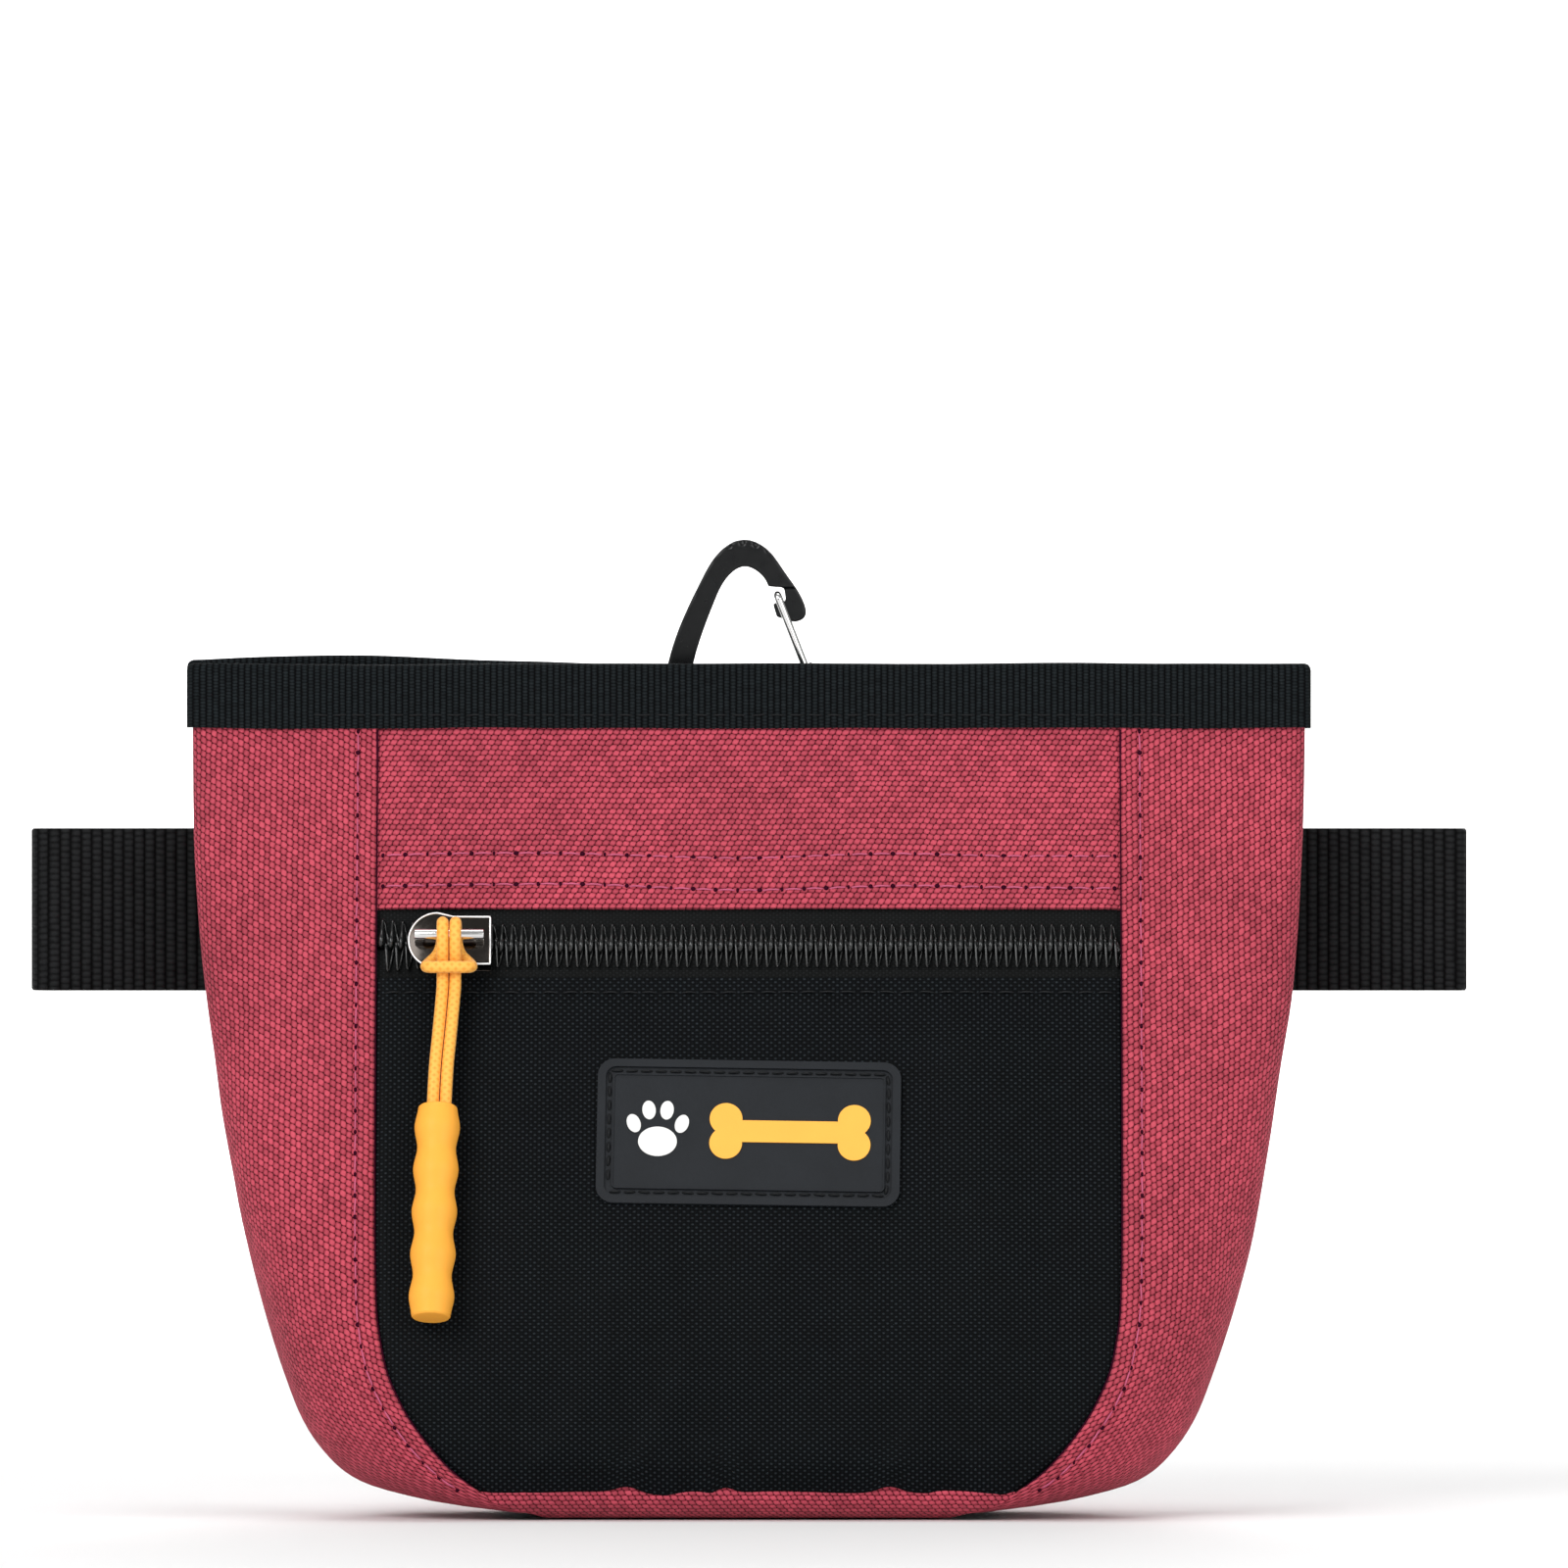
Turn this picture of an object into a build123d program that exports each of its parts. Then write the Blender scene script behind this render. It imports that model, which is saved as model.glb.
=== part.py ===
"""Belt-worn treat pouch: a canvas bag with a zipped front pocket, a magnetic mouth, a folded
waist belt with its buckle, and a small wire-gate carabiner on a webbing tab.

Millimetres. +Z is up and the front faces -Y. The origin is the middle of the flat base.
The front wall is one body that leans back to meet the upright back wall at the mouth.
"""

from build123d import *
from math import atan2, cos, hypot, pi, radians, sin, tan
import os

os.makedirs("parts", exist_ok=True)

# --- Driving dimensions -----------------------------------------------------------------
RIM_Z = 127.0  # top of the canvas at the mouth
BINDING_Z = 118.0  # lower edge of the mouth binding
SLOPE_Z = 28.0  # the front wall's slope starts here
BACK_Y = 21.0  # outer face of the back wall
RIM_FRONT_Y = 13.0  # outer face of the front wall at the mouth
SLOPE_FRONT_Y = -17.5  # outer face of the front wall where the slope starts
CANVAS = 0.9
LINING = 0.4
TAPE = 0.7  # one thickness of the mouth binding
SKIN_GAP = 0.1  # between layers that are sewn together
BODY_GAP = 0.4  # between pieces that move apart
WALL_FLOOR = 1.2  # the walls start here, above the base panel

# (height, half width at the side fold, half width at the front and back seams)
LEVELS = [
    (WALL_FLOOR, 53.0, 38.0),
    (5.0, 58.5, 43.0),
    (10.0, 64.0, 47.5),
    (18.0, 68.5, 53.0),
    (SLOPE_Z, 72.0, 55.7),
    (52.0, 77.6, 56.0),
    (76.0, 81.3, 56.0),
    (100.0, 83.4, 56.0),
    (BINDING_Z, 84.1, 56.0),
    (RIM_Z, 84.1, 56.0),
]
# Outer face of the front wall from base to mouth, as (y, z)
FRONT_PROFILE = [
    (-19.0, WALL_FLOOR),
    (-20.5, 10.0),
    (SLOPE_FRONT_Y, SLOPE_Z),
    (RIM_FRONT_Y, BINDING_Z),
    (RIM_FRONT_Y, RIM_Z),
]

# Depths below the outer face of the front wall
BACKING_DEPTH = 2.2
LINING_DEPTH = 3.0
MAGNET = (60.0, 1.0, 7.0)
BACK_LINING_DEPTH = 2.1
FOLD_SHARE = 0.7  # from shoulder to fold, how far the back lining reaches; its fold strip has the rest
FOLD_STRIP_TOP = (116.0, 84.0, 56.0)  # the fold strips end below the mouth binding

# Zip, in the plane of the sloping front wall
ZIP_Z = 85.4
ZIP_HALF_LENGTH = 55.0
ZIP_TAPE_WIDTH = 14.0
ZIP_TAPE = 0.4
ZIP_TAPE_DEPTH = 1.0
COIL_WIDTH = 2.9
COIL_TOP = 1.3
COIL_SPACE = 0.8  # between the two coils
UPPER_PANEL_EDGE = 6.2  # above the zip's middle
POCKET_EDGE = -5.0  # below the zip's middle
POCKET_CLOTH = 0.6

# Slider and its pull
SLIDER_X = -44.9
SLIDER_LENGTH = 12.4
SLIDER_WIDTH = 8.8
SLIDER_PLATE = 0.8
SLIDER_TOP_N = 1.5
BAR_RADIUS = 0.8
BAR_LENGTH = 10.4
CORD = 1.8
WRAP = BAR_RADIUS + CORD / 2 + 0.05  # centre of the cord round the bar
BAR_N = SLIDER_TOP_N + SLIDER_PLATE + WRAP + CORD / 2 + 0.2
GRIP_LENGTH = 33.0
GRIP_RADIUS = 3.15
GRIP_WAVE = 0.25
GRIP_RIBS = 5
GRIP_N = 4.9
GRIP_TOP_V = -27.0
HITCH_END_V = -7.3
STRAND_TOP_V = -8.2

# Badge
BADGE = (45.4, 22.6)
BADGE_CORNER = 2.6
BADGE_V = -29.8
BADGE_TILT = -0.9

# Carabiner, in its own plane behind the back wall
CARABINER = 4.0
CARABINER_THIN = 3.0  # at the nose and the gate's hinge
PIVOT_Y = 26.0
PIVOT_Z = 111.3
CARABINER_LEAN = 2.5  # degrees towards the pouch, onto the back binding
WIRE = 1.2
GATE_HINGE = (9.3, 125.4)
GATE_NOSE = (4.3, 138.3)
TAB_X = -0.5
TAB_WIDTH = 10.0
TAB_HOLE = 3.6

# Waist belt, folded behind the pouch
BELT_WIDTH = 24.6
BELT_Z = 90.6
BELT = 1.2
BELT_ENDS = (-108.8, 108.75)
LAYER_Y = (24.4, 27.5, 29.0, 31.3)
TAIL_Y = 32.9
BUCKLE_Y = 33.2
BUCKLE = (54.0, 6.6, 33.0)
BUCKLE_BAR = 2.4  # thickness of the bar that the webbing goes round
BUCKLE_BAR_DEPTH = 2.2
BUCKLE_SPLIT = -7.3  # where the female housing's mouth meets the male half
KEEPER_X = 42.0
KEEPER_WIDTH = 20.0


# --- Shape helpers ----------------------------------------------------------------------
SLOPE = atan2(RIM_FRONT_Y - SLOPE_FRONT_Y, BINDING_Z - SLOPE_Z)


def front_y(z):
    """y of the front wall's outer face at a height."""
    for (y0, z0), (y1, z1) in zip(FRONT_PROFILE, FRONT_PROFILE[1:]):
        if z <= z1:
            return y0 + (y1 - y0) * (z - z0) / (z1 - z0)
    return RIM_FRONT_Y


# Local frame of the sloping front: x along the zip, y up the slope, z outward
FRONT = Plane(
    origin=(0, front_y(ZIP_Z), ZIP_Z),
    x_dir=(1, 0, 0),
    z_dir=(0, -cos(SLOPE), sin(SLOPE)),
)


def on_front(shape):
    return FRONT.location * shape


def block(x, y, z):
    """A box between two limits on each axis."""
    size = [b - a for a, b in (x, y, z)]
    middle = [(a + b) / 2 for a, b in (x, y, z)]
    return Pos(*middle) * Box(*size)


def inward(points, depth):
    """The front profile moved into the pouch by a depth, with mitred corners."""
    normals = []
    for (y0, z0), (y1, z1) in zip(points, points[1:]):
        length = hypot(y1 - y0, z1 - z0)
        normals.append(((z1 - z0) / length, -(y1 - y0) / length))
    moved = []
    for i, (y, z) in enumerate(points):
        a, b = normals[max(i - 1, 0)], normals[min(i, len(normals) - 1)]
        share = depth / (1 + a[0] * b[0] + a[1] * b[1])
        moved.append((y + (a[0] + b[0]) * share, z + (a[1] + b[1]) * share))
    return moved


def yz_extrusion(points, x_low, x_high):
    """A closed outline in Y and Z, drawn out along X."""
    face = make_face(Polyline(*[(x_low, y, z) for y, z in points], close=True))
    return extrude(face, amount=x_high - x_low, dir=(1, 0, 0))


def seam_outline(clearance):
    """The centre panel's front outline, drawn out along Y, cut back by a clearance at its seams."""
    right = [(seam - clearance, z) for z, _, seam in LEVELS]
    low, high = WALL_FLOOR - 5, RIM_Z + 5
    right = [(right[0][0], low), *right, (right[-1][0], high)]
    points = right + [(-x, z) for x, z in reversed(right)]
    face = make_face(Polyline(*[(x, -60, z) for x, z in points], close=True))
    return extrude(face, amount=120, dir=(0, 1, 0))


def front_layer(depth, thickness, z_low, z_high):
    """One layer of the front wall's centre, between two heights."""
    outer, inner = inward(FRONT_PROFILE, depth), inward(FRONT_PROFILE, depth + thickness)
    half = LEVELS[-1][2]
    layer = yz_extrusion(outer + inner[::-1], -half, half)
    slab = block((-100, 100), (-60, 60), (z_low, z_high))
    return (layer & slab) & seam_outline(BODY_GAP / 2)


def quarter(level, depth, front):
    """Three points of the side gusset from seam to fold, at a depth below the outer face."""
    z, fold, seam = level
    face_y = front_y(z) if front else BACK_Y
    middle = (front_y(z) + BACK_Y) / 2 + 0.3
    half_depth = abs(middle - face_y)
    into = 1 if front else -1
    shoulder_x = fold - 0.22 * half_depth - 0.5 - 0.7 * depth
    shoulder_y = face_y + into * (0.3 * half_depth + 0.7 * depth)
    edge_y = middle - into * BODY_GAP / 2
    return [
        (seam, face_y + into * depth),
        (shoulder_x, shoulder_y),
        (fold - depth, edge_y),
    ]


def between(a, b, share):
    """The point at a share of the way from a to b."""
    return a[0] + (b[0] - a[0]) * share, a[1] + (b[1] - a[1]) * share


def loft_levels(outline_at, levels):
    """A solid through one closed outline at each level, with straight rulings."""
    faces = []
    for level in levels:
        z = level[0]
        faces.append(make_face(Polyline(*[(x, y, z) for x, y in outline_at(level)], close=True)))
    return loft(faces, ruled=True)


def rounded_block(length, width, height, radius):
    """A block centred in x and y, standing on z = 0, with rounded upright edges."""
    return extrude(RectangleRounded(length, width, radius), amount=height)


# --- Pouch shell ------------------------------------------------------------------------
def side_gusset(side, front):
    """Half of a side gusset, from its seam to the fold down the side."""

    def outline(level):
        outer = quarter(level, 0, front)
        inner = quarter(level, CANVAS, front)
        return [(side * x, y) for x, y in outer + inner[::-1]]

    return loft_levels(outline, LEVELS)


def lining_half(front):
    """Half of the lining bag: the wall's centre and its share of both sides."""
    centre_depth = LINING_DEPTH if front else BACK_LINING_DEPTH
    side_depth = CANVAS + SKIN_GAP
    step_in = 2.0  # the lining leaves the gusset this far inside the seam
    into = 1 if front else -1

    def half_ring(level, extra):
        (seam, face_y), shoulder, fold = quarter(level, side_depth + extra, front)
        centre_y = face_y + into * (centre_depth - side_depth)
        end = fold if front else between(shoulder, fold, FOLD_SHARE)
        right = [(seam - step_in, centre_y), shoulder, end]
        return [(-x, y) for x, y in reversed(right)] + right

    def outline(level):
        return half_ring(level, 0) + half_ring(level, LINING)[::-1]

    first = (WALL_FLOOR + 0.8, *LEVELS[0][1:])
    return loft_levels(outline, [first, *LEVELS[1:]])


def lining_fold(side):
    """The strip of lining just behind the side fold; it turns half as far as the front wall."""
    side_depth = CANVAS + SKIN_GAP

    def edge(level, depth):
        _, shoulder, fold = quarter(level, depth, False)
        start = between(shoulder, fold, FOLD_SHARE)
        return [(start[0], start[1] - BODY_GAP), fold]

    def outline(level):
        points = edge(level, side_depth) + edge(level, side_depth + LINING)[::-1]
        return [(side * x, y) for x, y in points]

    return loft_levels(outline, LEVELS[1:8] + [FOLD_STRIP_TOP])


def lining_base():
    """The lining's floor, inside the walls."""
    level = LEVELS[0]
    front = quarter(level, 1.8, True)[1:]
    back = quarter(level, 1.8, False)[1:]
    corner_x, clear = 30.0, LINING + 0.3
    front_edge = front_y(level[0]) + LINING_DEPTH + clear
    back_edge = BACK_Y - BACK_LINING_DEPTH - clear
    right = [(corner_x, front_edge), *front, *back[::-1], (corner_x, back_edge)]
    points = right + [(-x, y) for x, y in reversed(right)]
    face = make_face(Polyline(*[(x, y, WALL_FLOOR + 0.6) for x, y in points], close=True))
    return extrude(face, amount=LINING, dir=(0, 0, 1))


def base_panel():
    level = LEVELS[0]
    right = quarter(level, 0, True) + quarter(level, 0, False)[::-1]
    points = right + [(-x, y) for x, y in reversed(right)]
    face = make_face(Polyline(*[(x, y, 0) for x, y in points], close=True))
    return extrude(face, amount=CANVAS, dir=(0, 0, 1))


def mouth_binding(front):
    """Half of the tape folded over the rim, outside and inside the wall."""
    level = LEVELS[-1]
    into = 1 if front else -1
    wall = (LINING_DEPTH if front else BACK_LINING_DEPTH) + LINING
    side_wall = CANVAS + SKIN_GAP + LINING
    top = RIM_Z + SKIN_GAP + TAPE

    def half_ring(depth, side_depth):
        (seam, face_y), _, _ = quarter(level, 0, front)
        _, shoulder, fold = quarter(level, side_depth, front)
        right = [(seam - 4.0, face_y + into * depth), (seam + 2.0, face_y + into * depth), shoulder, fold]
        return [(-x, y) for x, y in reversed(right)] + right

    def ring(outer, inner, z_low, z_high):
        points = outer + inner[::-1]
        face = make_face(Polyline(*[(x, y, z_low) for x, y in points], close=True))
        return extrude(face, amount=z_high - z_low, dir=(0, 0, 1))

    outside = half_ring(-SKIN_GAP - TAPE, -SKIN_GAP - TAPE)
    inside = half_ring(wall + SKIN_GAP + TAPE, side_wall + SKIN_GAP + TAPE)
    room_outside = half_ring(-SKIN_GAP, -SKIN_GAP)
    room_inside = half_ring(wall + SKIN_GAP, side_wall + SKIN_GAP)
    whole = ring(outside, inside, BINDING_Z, top)
    room = ring(room_outside, room_inside, BINDING_Z - 1, RIM_Z + SKIN_GAP)
    return whole - room


def back_panel():
    plate = block((-56, 56), (BACK_Y - CANVAS, BACK_Y), (WALL_FLOOR, RIM_Z))
    return plate & seam_outline(0)


def magnet(front):
    length, thickness, height = MAGNET
    z_low = BINDING_Z + 1.2
    if front:
        y_low = RIM_FRONT_Y + CANVAS + SKIN_GAP
    else:
        y_low = BACK_Y - CANVAS - SKIN_GAP - thickness
    return block((-length / 2, length / 2), (y_low, y_low + thickness), (z_low, z_low + height))


def pocket_backing():
    return front_layer(BACKING_DEPTH, LINING, WALL_FLOOR + 0.3, RIM_Z)


def upper_panel():
    lower_edge = on_front(block((-80, 80), (UPPER_PANEL_EDGE, 80), (-30, 30)))
    return front_layer(0, CANVAS, BINDING_Z - 45, RIM_Z) & lower_edge


def pocket_panel():
    upper_edge = on_front(block((-80, 80), (-140, POCKET_EDGE), (-60, 60)))
    return front_layer(0.3, POCKET_CLOTH, WALL_FLOOR, ZIP_Z + 5) & upper_edge


# --- Zip --------------------------------------------------------------------------------
def zip_tape(side):
    inner, outer = COIL_SPACE / 2, COIL_SPACE / 2 + ZIP_TAPE_WIDTH
    v = sorted((side * inner, side * outer))
    n = (-ZIP_TAPE_DEPTH - ZIP_TAPE, -ZIP_TAPE_DEPTH)
    return on_front(block((-ZIP_HALF_LENGTH, ZIP_HALF_LENGTH), v, n))


def zip_coil(side):
    """The outer shape of one coil, standing on its tape."""
    v = sorted((side * COIL_SPACE / 2, side * (COIL_SPACE / 2 + COIL_WIDTH)))
    rod = block((-ZIP_HALF_LENGTH, ZIP_HALF_LENGTH), v, (-ZIP_TAPE_DEPTH, COIL_TOP))
    along_x = rod.edges().filter_by(Axis.X).group_by(Axis.Z)[-1]
    return on_front(fillet(along_x, 1.0))


def slider_outline(clearance=0.0):
    """Slider plate seen from the front: a round shoulder end and a square tail end."""
    half, width = SLIDER_LENGTH / 2, SLIDER_WIDTH / 2 - clearance
    tail = width - 0.6
    shoulder_x = -half + width
    edge = [
        Line((half, -tail), (half, tail)),
        Line((half, tail), (shoulder_x + 2.4, tail)),
        Line((shoulder_x + 2.4, tail), (shoulder_x, width)),
        ThreePointArc((shoulder_x, width), (-half, 0), (shoulder_x, -width)),
        Line((shoulder_x, -width), (shoulder_x + 2.4, -tail)),
        Line((shoulder_x + 2.4, -tail), (half, -tail)),
    ]
    return make_face(Wire(edge))


def slider_body():
    """Both plates, their post between the coils, and the flanges beside them."""
    outline = slider_outline()
    top = Pos(0, 0, SLIDER_TOP_N) * extrude(outline, amount=SLIDER_PLATE)
    bottom_n = -ZIP_TAPE_DEPTH - ZIP_TAPE - 0.1
    bottom = Pos(0, 0, bottom_n) * extrude(outline, amount=-0.55)
    half = SLIDER_LENGTH / 2
    post = block((-half + 0.6, -half + 3.4), (-0.25, 0.25), (bottom_n - 0.3, SLIDER_TOP_N + 0.3))
    flange_low, flange_high = -ZIP_TAPE_DEPTH + 0.15, SLIDER_TOP_N + 0.2
    tail = SLIDER_WIDTH / 2 - 0.6
    body = top + bottom + post
    for side in (-1, 1):
        v = sorted((side * (tail - 0.3), side * tail))
        body += block((-half + 3.2, half), v, (flange_low, flange_high))
    return on_front(Pos(SLIDER_X, 0, 0) * body)


def slider_bridge():
    """The bar that the pull cord is hitched to, on two feet."""
    foot_x = BAR_LENGTH / 2 - 0.6
    bar = Pos(0, 0, BAR_N) * Rot(0, 90, 0) * Cylinder(BAR_RADIUS, BAR_LENGTH)
    for side in (-1, 1):
        bar += block(
            (side * foot_x - 0.6, side * foot_x + 0.6),
            (-BAR_RADIUS, BAR_RADIUS),
            (SLIDER_TOP_N + SLIDER_PLATE, BAR_N),
        )
    return on_front(Pos(SLIDER_X, 0, 0) * bar)


# The cow hitch's left half round the bar, as (x, v, n), from the drop to the middle of the band
HITCH = [
    (-0.95, HITCH_END_V, 4.3),
    (-0.95, -4.9, 4.4),
    (-0.95, -1.7, BAR_N + WRAP),
    (-0.95, WRAP, BAR_N + WRAP),
    (-1.0, WRAP, BAR_N - WRAP),
    (-1.2, -2.3, BAR_N - WRAP),
    (-3.4, -4.4, 3.7),
    (-3.4, -5.5, 6.2),
    (0.0, -5.6, 6.7),
]
# One strand of the drop, from below the hitch into the grip, leaning a little to the left
DROP = [(-0.95, STRAND_TOP_V, 4.35), (-1.5, -15.0, 4.5), (-2.2, -22.5, 4.8), (-2.45, GRIP_TOP_V - 6.0, 4.9)]


def arc_radii(points, share=0.45):
    """The largest arc at each corner that leaves its two runs straight between arcs."""
    radii = []
    vectors = [Vector(*p) for p in points]
    for a, b, c in zip(vectors, vectors[1:], vectors[2:]):
        turn = radians((b - a).get_angle(c - b))
        shorter = min((b - a).length, (c - b).length)
        radii.append(share * shorter / tan(turn / 2))
    return radii


def cord_tube(points, name):
    """A cord along straight runs and tangent arcs."""
    radii = arc_radii(points)
    path = FilletPolyline(*points, radius=radii)
    start = Plane(origin=points[0], z_dir=Vector(*points[1]) - Vector(*points[0]))
    tube = sweep(start * Circle(CORD / 2), path=path)
    expected = path.length * pi * CORD**2 / 4
    print(name, "radii", [round(r, 2) for r in radii], "length", round(path.length, 1),
          "volume share", round(tube.volume / expected, 3))
    return tube


def pull_cord_hitch():
    right = [(-x, v, n) for x, v, n in reversed(HITCH[:-1])]
    tube = cord_tube(HITCH + right, "hitch")
    return on_front(Pos(SLIDER_X, 0, 0) * tube)


def pull_cord_strands():
    """The two strands side by side; both lean the same way."""
    left = cord_tube(DROP, "strand")
    right = Pos(2 * 0.95, 0, 0) * left
    return on_front(Pos(SLIDER_X, 0, 0) * Compound([left, right]))


def pull_grip():
    """A moulded grip with rounded ribs, hollow at the top for the cord's ends."""
    steps_per_rib = 4
    count = GRIP_RIBS * steps_per_rib
    pitch = GRIP_LENGTH / count
    phase = 2 * pi / steps_per_rib
    side = [(GRIP_RADIUS - GRIP_WAVE * cos(phase * i), -pitch * i) for i in range(count + 1)]
    outline = make_face(
        Wire([Line((0, 0), side[0]), Spline(*side), Line(side[-1], (0, -GRIP_LENGTH)),
              Line((0, -GRIP_LENGTH), (0, 0))])
    )
    grip = revolve(outline, Axis.Y)
    hole = Pos(0, -5, 0) * Rot(90, 0, 0) * extrude(SlotOverall(4.6, 2.3), amount=7, both=True)
    lean = Rot(0, 0, -1.5)
    middle_x = DROP[-1][0] + 0.95
    return on_front(Pos(SLIDER_X + middle_x, GRIP_TOP_V, GRIP_N) * lean * (grip - hole))


# --- Badge ------------------------------------------------------------------------------
def on_badge(shape):
    return on_front(Pos(0, BADGE_V, 0) * Rot(0, 0, BADGE_TILT) * shape)


def badge():
    """A moulded plate with a raised rim and a stitching groove inside it."""
    length, width = BADGE
    plate = Pos(0, 0, -0.2) * rounded_block(length, width, 1.2, BADGE_CORNER)
    groove_outside = rounded_block(length - 2.4, width - 2.4, 1.0, BADGE_CORNER - 1.0)
    groove_inside = rounded_block(length - 4.6, width - 4.6, 1.0, BADGE_CORNER - 1.9)
    field = Pos(0, 0, 0.8) * rounded_block(length - 5.0, width - 5.0, 1.0, 0.5)
    return on_badge(plate - Pos(0, 0, 0.5) * (groove_outside - groove_inside) - field)


def badge_paw():
    """A plain paw print: one pad and four toes."""
    paw = Pos(0, -1.9) * Ellipse(2.9, 2.3)
    for x, y, tilt in ((-3.6, 0.9, 20), (-1.35, 3.0, 6), (1.35, 3.0, -6), (3.6, 0.9, -20)):
        paw += Pos(x, y) * Rot(0, 0, tilt) * Ellipse(1.0, 1.45)
    return on_badge(Pos(-13.6, 0.3, 0.8) * extrude(paw, amount=0.18))


def badge_bone():
    """A plain bone: a bar with two knobs at each end."""
    bone = Rectangle(16.0, 3.4)
    for x in (-9.6, 9.6):
        for y in (-1.9, 1.9):
            bone += Pos(x, y) * Circle(2.45)
    return on_badge(Pos(6.2, 0.2, 0.8) * extrude(bone, amount=0.18))


# --- Back of the pouch ------------------------------------------------------------------
def belt_keeper(side):
    """A webbing strip sewn above and below the belt, which passes behind it."""
    face, strip = BACK_Y + SKIN_GAP, 1.0
    out = LAYER_Y[0] + BELT / 2 + 0.3
    low, high = BELT_Z - BELT_WIDTH / 2 - 1.0, BELT_Z + BELT_WIDTH / 2 + 1.0
    ramp = 3.4
    sewn = 9.0
    near = [
        (face, low - ramp - sewn), (face, low - ramp), (out, low), (out, high),
        (face, high + ramp), (face, high + ramp + sewn),
    ]
    far = [(y + strip, z) for y, z in near]
    far[1] = (face + strip, low - ramp - 0.5)
    far[2] = (out + strip, low - 0.5)
    far[3] = (out + strip, high + 0.5)
    far[4] = (face + strip, high + ramp + 0.5)
    x = side * KEEPER_X
    return yz_extrusion(near + far[::-1], x - KEEPER_WIDTH / 2, x + KEEPER_WIDTH / 2)


def hanger_tab():
    """Webbing folded round the carabiner's lower bar and sewn to the back wall."""
    strip = 1.0
    low = 92.0
    x = (TAB_X - TAB_WIDTH / 2, TAB_X + TAB_WIDTH / 2)
    centre = Pos(TAB_X, PIVOT_Y, PIVOT_Z) * Rot(0, 90, 0)
    outer = centre * Cylinder(TAB_HOLE + strip, TAB_WIDTH)
    first_y = PIVOT_Y - TAB_HOLE - strip
    tab = outer + block(x, (first_y, first_y + strip), (low, PIVOT_Z))
    tab += block(x, (first_y + strip, first_y + 2 * strip), (low, PIVOT_Z - TAB_HOLE - 0.5))
    return tab - centre * Cylinder(TAB_HOLE, TAB_WIDTH + 2)


# --- Carabiner --------------------------------------------------------------------------
BAR_LOW, BAR_HIGH = PIVOT_Z - 2.0, PIVOT_Z + 2.0
# From the nose over the apex and down the left to the bar, outside and inside
OUTER_HOOK = [(6.8, 134.2), (8.6, 135.3), (8.2, 137.4), (5.4, 141.8), (2.8, 145.2), (-0.8, 146.7), (-4.4, 144.9),
              (-7.2, 140.6), (-9.8, 135.2), (-12.4, 127.4), (-12.9, 119.6), (-10.6, 112.6), (-5.8, BAR_LOW)]
INNER_HOOK = [(2.9, 139.6), (1.5, 141.7), (-0.8, 142.6), (-3.0, 141.3), (-5.2, 137.4), (-8.2, 128.8), (-9.1, 120.4),
              (-7.6, 115.2), (-4.4, BAR_HIGH)]
OUTER_SPINE = [(4.8, BAR_LOW), (9.6, 112.6), (11.6, 119.6), (11.0, 126.2), (9.3, 128.2)]
INNER_SPINE = [(7.4, 126.0), (7.7, 120.0), (6.6, 115.4), (3.6, BAR_HIGH)]
NOSE = [(2.9, 139.6), (5.3, 139.4), (5.6, 137.3), (3.6, 137.0), (4.2, 135.0), (6.8, 134.2)]


def carabiner_outline():
    """A pear-shaped hook, open on its right between the nose and the gate's hinge."""
    outline = [
        Spline(*OUTER_HOOK),
        Line(OUTER_HOOK[-1], OUTER_SPINE[0]),
        Spline(*OUTER_SPINE),
        Line(OUTER_SPINE[-1], INNER_SPINE[0]),
        Spline(*INNER_SPINE),
        Line(INNER_SPINE[-1], INNER_HOOK[-1]),
        Spline(*INNER_HOOK[::-1]),
        *[Line(a, b) for a, b in zip(NOSE, NOSE[1:])],
    ]
    return make_face(Wire(outline))


def in_carabiner_plane(sketch, thickness):
    """A sketch drawn in (x, z), thickened evenly about the carabiner's middle plane."""
    plane = Plane(origin=(0, PIVOT_Y, 0), x_dir=(1, 0, 0), z_dir=(0, -1, 0))
    return extrude(plane * sketch, amount=thickness / 2, both=True)


def leaning(shape):
    """Turn the carabiner's pieces about the tab's middle, towards the pouch."""
    pivot = Pos(0, PIVOT_Y, PIVOT_Z)
    return pivot * Rot(CARABINER_LEAN, 0, 0) * Pos(0, -PIVOT_Y, -PIVOT_Z) * shape


def carabiner_frame():
    frame = in_carabiner_plane(carabiner_outline(), CARABINER)
    relief = block((2.5, 14), (PIVOT_Y - 10, PIVOT_Y + 10), (123.0, 129.5))
    relief += block((1.2, 14), (PIVOT_Y - 10, PIVOT_Y + 10), (133.0, 139.5))
    keep = block((-20, 20), (PIVOT_Y - CARABINER_THIN / 2, PIVOT_Y + CARABINER_THIN / 2), (100, 150))
    frame -= relief - keep
    hinge = Pos(GATE_HINGE[0], PIVOT_Y, GATE_HINGE[1]) * Rot(90, 0, 0) * Cylinder(WIRE / 2 + 0.05, 10)
    frame -= hinge
    # Grip notches across the outside of the apex
    for angle in (-38, -20, -2, 16, 34):
        notch_x = -0.8 + 7.4 * sin(radians(angle))
        notch_z = 139.6 + 7.4 * cos(radians(angle))
        for side in (-1, 1):
            notch = Pos(notch_x, PIVOT_Y + side * CARABINER / 2, notch_z) * Rot(0, angle, 0)
            frame -= notch * Box(0.8, 0.7, 2.4)
    return leaning(frame)


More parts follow.
